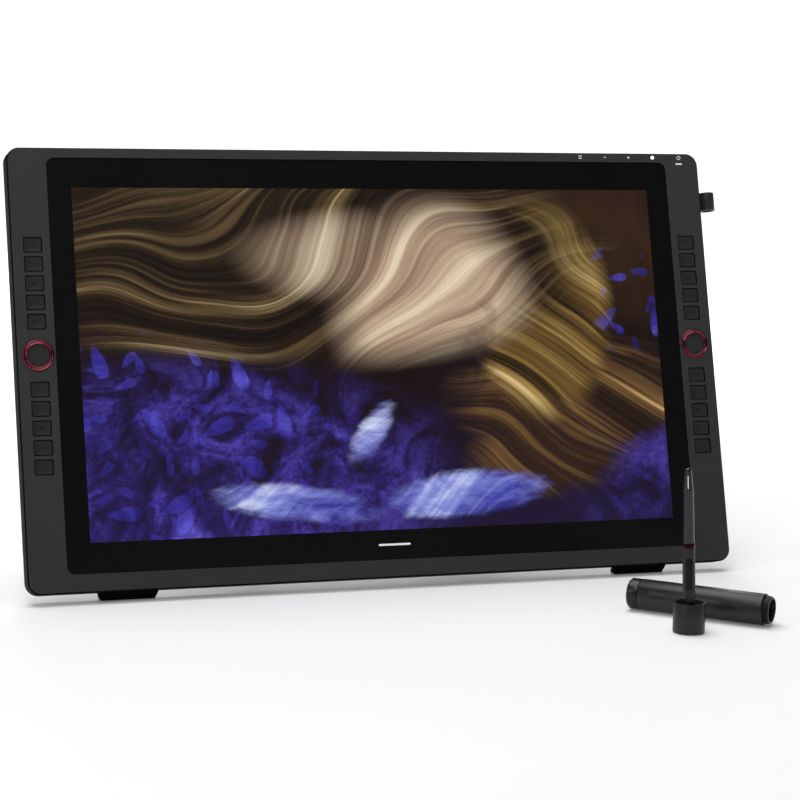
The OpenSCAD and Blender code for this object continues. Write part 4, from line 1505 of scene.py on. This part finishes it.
@dataclass
class Studio:
    """A plain pale floor, soft light and the camera.

    Fields:
        lens: the camera's focal length for a 36 mm sensor.
        stand: the camera's place from the middle of the foot of the display.
        ahead: the way it looks.
        level: the way its picture's width runs.
        glow: the floor's own light near the object, so that shadows stay soft.
        near: where the floor's own light starts to rise.
        far: where it is full, so that the floor meets the background unseen.
        sky_seen: the background's strength in the picture.
        sky_light: its strength as a light.
        lamps: each lamp's place, side and power in watts.
    """

    lens: float = 114.92
    stand: Vector = field(default_factory=lambda: Vector((-0.662, -1.812, 0.420)))
    ahead: Vector = field(default_factory=lambda: Vector((0.3404, 0.9297, -0.1410)))
    level: Vector = field(default_factory=lambda: Vector((0.9400, -0.3403, 0.0260)))
    glow: float = 0.11
    near: float = 0.5
    far: float = 2.2
    sky_seen: float = 1.05
    sky_light: float = 0.12
    lamps: Mapping[str, tuple[tuple[float, float, float], float, float]] = field(default_factory=lambda: {
        "overhead": ((-0.2, 0.5, 2.6), 2.4, 66.0), "front_top": ((-0.9, -1.3, 2.2), 1.0, 12.0),
        "left_wall": ((-2.6, -0.9, 1.3), 1.4, 14.0), "behind": ((0.8, 2.6, 1.6), 1.8, 30.0)})

    def camera(self) -> None:
        """Puts the camera at the stated place."""
        feet_low, feet_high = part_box("front_feet")
        foot = Vector(((feet_low.x + feet_high.x) / 2, feet_low.y, 0.0))
        ahead = self.ahead.normalized()
        level = (self.level - self.level.dot(ahead) * ahead).normalized()
        up = level.cross(ahead)
        data = bpy.data.cameras.new("camera")
        data.lens, data.sensor_width, data.clip_end = self.lens, 36.0, 60.0
        camera = bpy.data.objects.new("camera", data)
        turn = Matrix((level, up, -ahead)).transposed().to_4x4()
        camera.matrix_world = Matrix.Translation(foot + self.stand) @ turn
        bpy.context.scene.collection.objects.link(camera)
        bpy.context.scene.camera = camera

    def lamp(self, name: str, at: Sequence[float], size: float, power: float) -> None:
        """A soft square lamp aimed at the display.

        Args:
            name: its name.
            at: its place.
            size: its side.
            power: its power in watts.
        """
        data = bpy.data.lights.new(name, "AREA")
        data.shape, data.size, data.energy = "SQUARE", size, power
        lamp = bpy.data.objects.new(name, data)
        lamp.location = at
        lamp.rotation_euler = (Vector((0.0, 0.0, 0.1)) - lamp.location).to_track_quat("-Z", "Y").to_euler()
        bpy.context.scene.collection.objects.link(lamp)

    def floor(self) -> None:
        """A wide pale disc under the object, faintly lit from within so that it stays pale."""
        loop = circle_loop(1.0, 128)
        flat = np.stack([loop[:, 0], loop[:, 1], np.zeros(len(loop))], 1)
        rings = np.array([flat * r + np.array([0.0, 0.0, -0.0004]) for r in (0.5, 2.0, 8.0, 30.0)]
                         + [flat * 30.0 + np.array([0.0, 0.0, -0.01])])
        piece = mesh_piece("floor", [closed_skin(rings)])
        s = Shader("floor_paper")
        x, y, _ = s.parts(s.place())
        away = (x * x + y * y) ** 0.5
        grain = s.noise(s.place(), 400.0, 2.0)
        s.surface(Base_Color=s.mix(grain, (0.80, 0.80, 0.80), (0.82, 0.82, 0.82)),
                  Roughness=grain * 0.05 + 0.9, Specular_IOR_Level=0.0, Emission_Strength=1.0,
                  Emission_Color=s.mix(away.step(self.near, self.far), (self.glow,) * 3, (1.0, 1.0, 1.0)))
        piece.data.materials.append(s.material)

    def sky(self) -> None:
        """White where the camera sees it, and a soft grey light elsewhere."""
        white = (1.0, 1.0, 1.0, 1.0)
        world = bpy.data.worlds.new("sky")
        bpy.context.scene.world = world
        s = Shader("sky", world)
        lit, seen = (s.node("ShaderNodeBackground", None, {"Color": white, "Strength": strength})
                     for strength in (self.sky_light, self.sky_seen))
        path = s.node("ShaderNodeLightPath")
        mixed = s.node("ShaderNodeMixShader", None,
                       {0: path.outputs["Is Camera Ray"], 1: lit.outputs[0], 2: seen.outputs[0]})
        s.node("ShaderNodeOutputWorld", None, {0: mixed.outputs[0]})

    def build(self) -> None:
        """Sets up the whole studio."""
        self.camera()
        for name, (at, size, power) in self.lamps.items():
            self.lamp(name, at, size, power)
        self.floor()
        self.sky()
        view = bpy.context.scene.view_settings
        view.view_transform, view.look = "Standard", "None"


# ---------------------------------------------------------------- everything together

FINISHES: dict[str, Any] = {
    # Painted shade: the frame turns near black just behind its face, on its sides and on the walls of its
    # openings.
    "frame_grey": DepthShadedCasing((0.042, 0.042, 0.042), 0.60, specular=0.04),
    "key_grey": Moulded((0.024, 0.024, 0.024), 0.50, specular=0.10),
    # Painted shade: the rear cover is darker on its sides near the face than further back.
    "rear_black": DepthShadedCasing((0.009, 0.009, 0.010), 0.62, 1500.0, 0.00006, specular=0.06,
                         behind=(0.022, 0.022, 0.023), turn_in=14.5 * MM),
    "holder_plastic": Moulded((0.028, 0.028, 0.029), 0.42),
    "pen_plastic": Moulded((0.007, 0.007, 0.007), 0.27, 3200.0, 0.00001, specular=0.46),
    "stand_plastic": Moulded((0.013, 0.013, 0.013), 0.38, specular=0.35),
    "black_plastic": Moulded((0.004, 0.004, 0.004), 0.34, 3200.0, 0.00001, specular=0.22),
    "white_plastic": Moulded((0.70, 0.70, 0.68), 0.40),
    "lcd": Moulded((0.02, 0.015, 0.03), 0.20, 3200.0, 0.000005),
    "black_rubber": Moulded((0.0015, 0.0015, 0.0015), 0.70, 1400.0, 0.00008, specular=0.05),
    "pen_rubber": Moulded((0.009, 0.009, 0.009), 0.44, 2600.0, 0.00002, specular=0.34),
    "stand_rubber": Moulded((0.003, 0.003, 0.003), 0.70, 1800.0, 0.00005, specular=0.10),
    "leg_metal": Metal((0.020, 0.021, 0.023), 0.50, (900.0, 900.0, 900.0), 0.00005, 0.0),
    "screw_black": Metal((0.05, 0.05, 0.052), 0.35, (2500.0, 2500.0, 2500.0)),
    "pin_steel": Metal((0.42, 0.43, 0.45), 0.28, (60.0, 4000.0, 4000.0)),
    "inner_metal": Metal((0.45, 0.46, 0.47), 0.40, (30.0, 2500.0, 2500.0)),
    "socket_metal": Metal((0.55, 0.56, 0.58), 0.25, (60.0, 3000.0, 3000.0)),
    "insert_brass": Metal((0.62, 0.42, 0.14), 0.30, (3000.0, 60.0, 3000.0)),
    "inner_copper": Metal((0.50, 0.22, 0.10), 0.35, (300.0, 300.0, 9000.0)),
    "ring_red": Metal((0.185, 0.006, 0.026), 0.13, (3500.0, 3500.0, 3500.0), 0.000002, 1.0, 0.8),
    "band_red": Metal((0.016, 0.0015, 0.003), 0.35, (200.0, 200.0, 5000.0), 0.000003, 1.0, 0.1),
    "board_green": CircuitBoard(),
    "light_white": Lit((0.62, 0.62, 0.64), 0.45),
    "cover_glass": Picture(),
}


def main() -> None:
    """Builds the studio and every sub-assembly, in order."""
    logging.basicConfig(level=logging.INFO, format="%(message)s")
    Studio().build()
    finishes = {slot: finish.material(slot) for slot, finish in FINISHES.items()}
    for assembly in (Display(), Keys(), Dials(), Printing(), Leg(), PenRing(), Pen(), PenStand(), PenCase()):
        assembly.build(finishes)


if __name__ == "__main__":
    main()
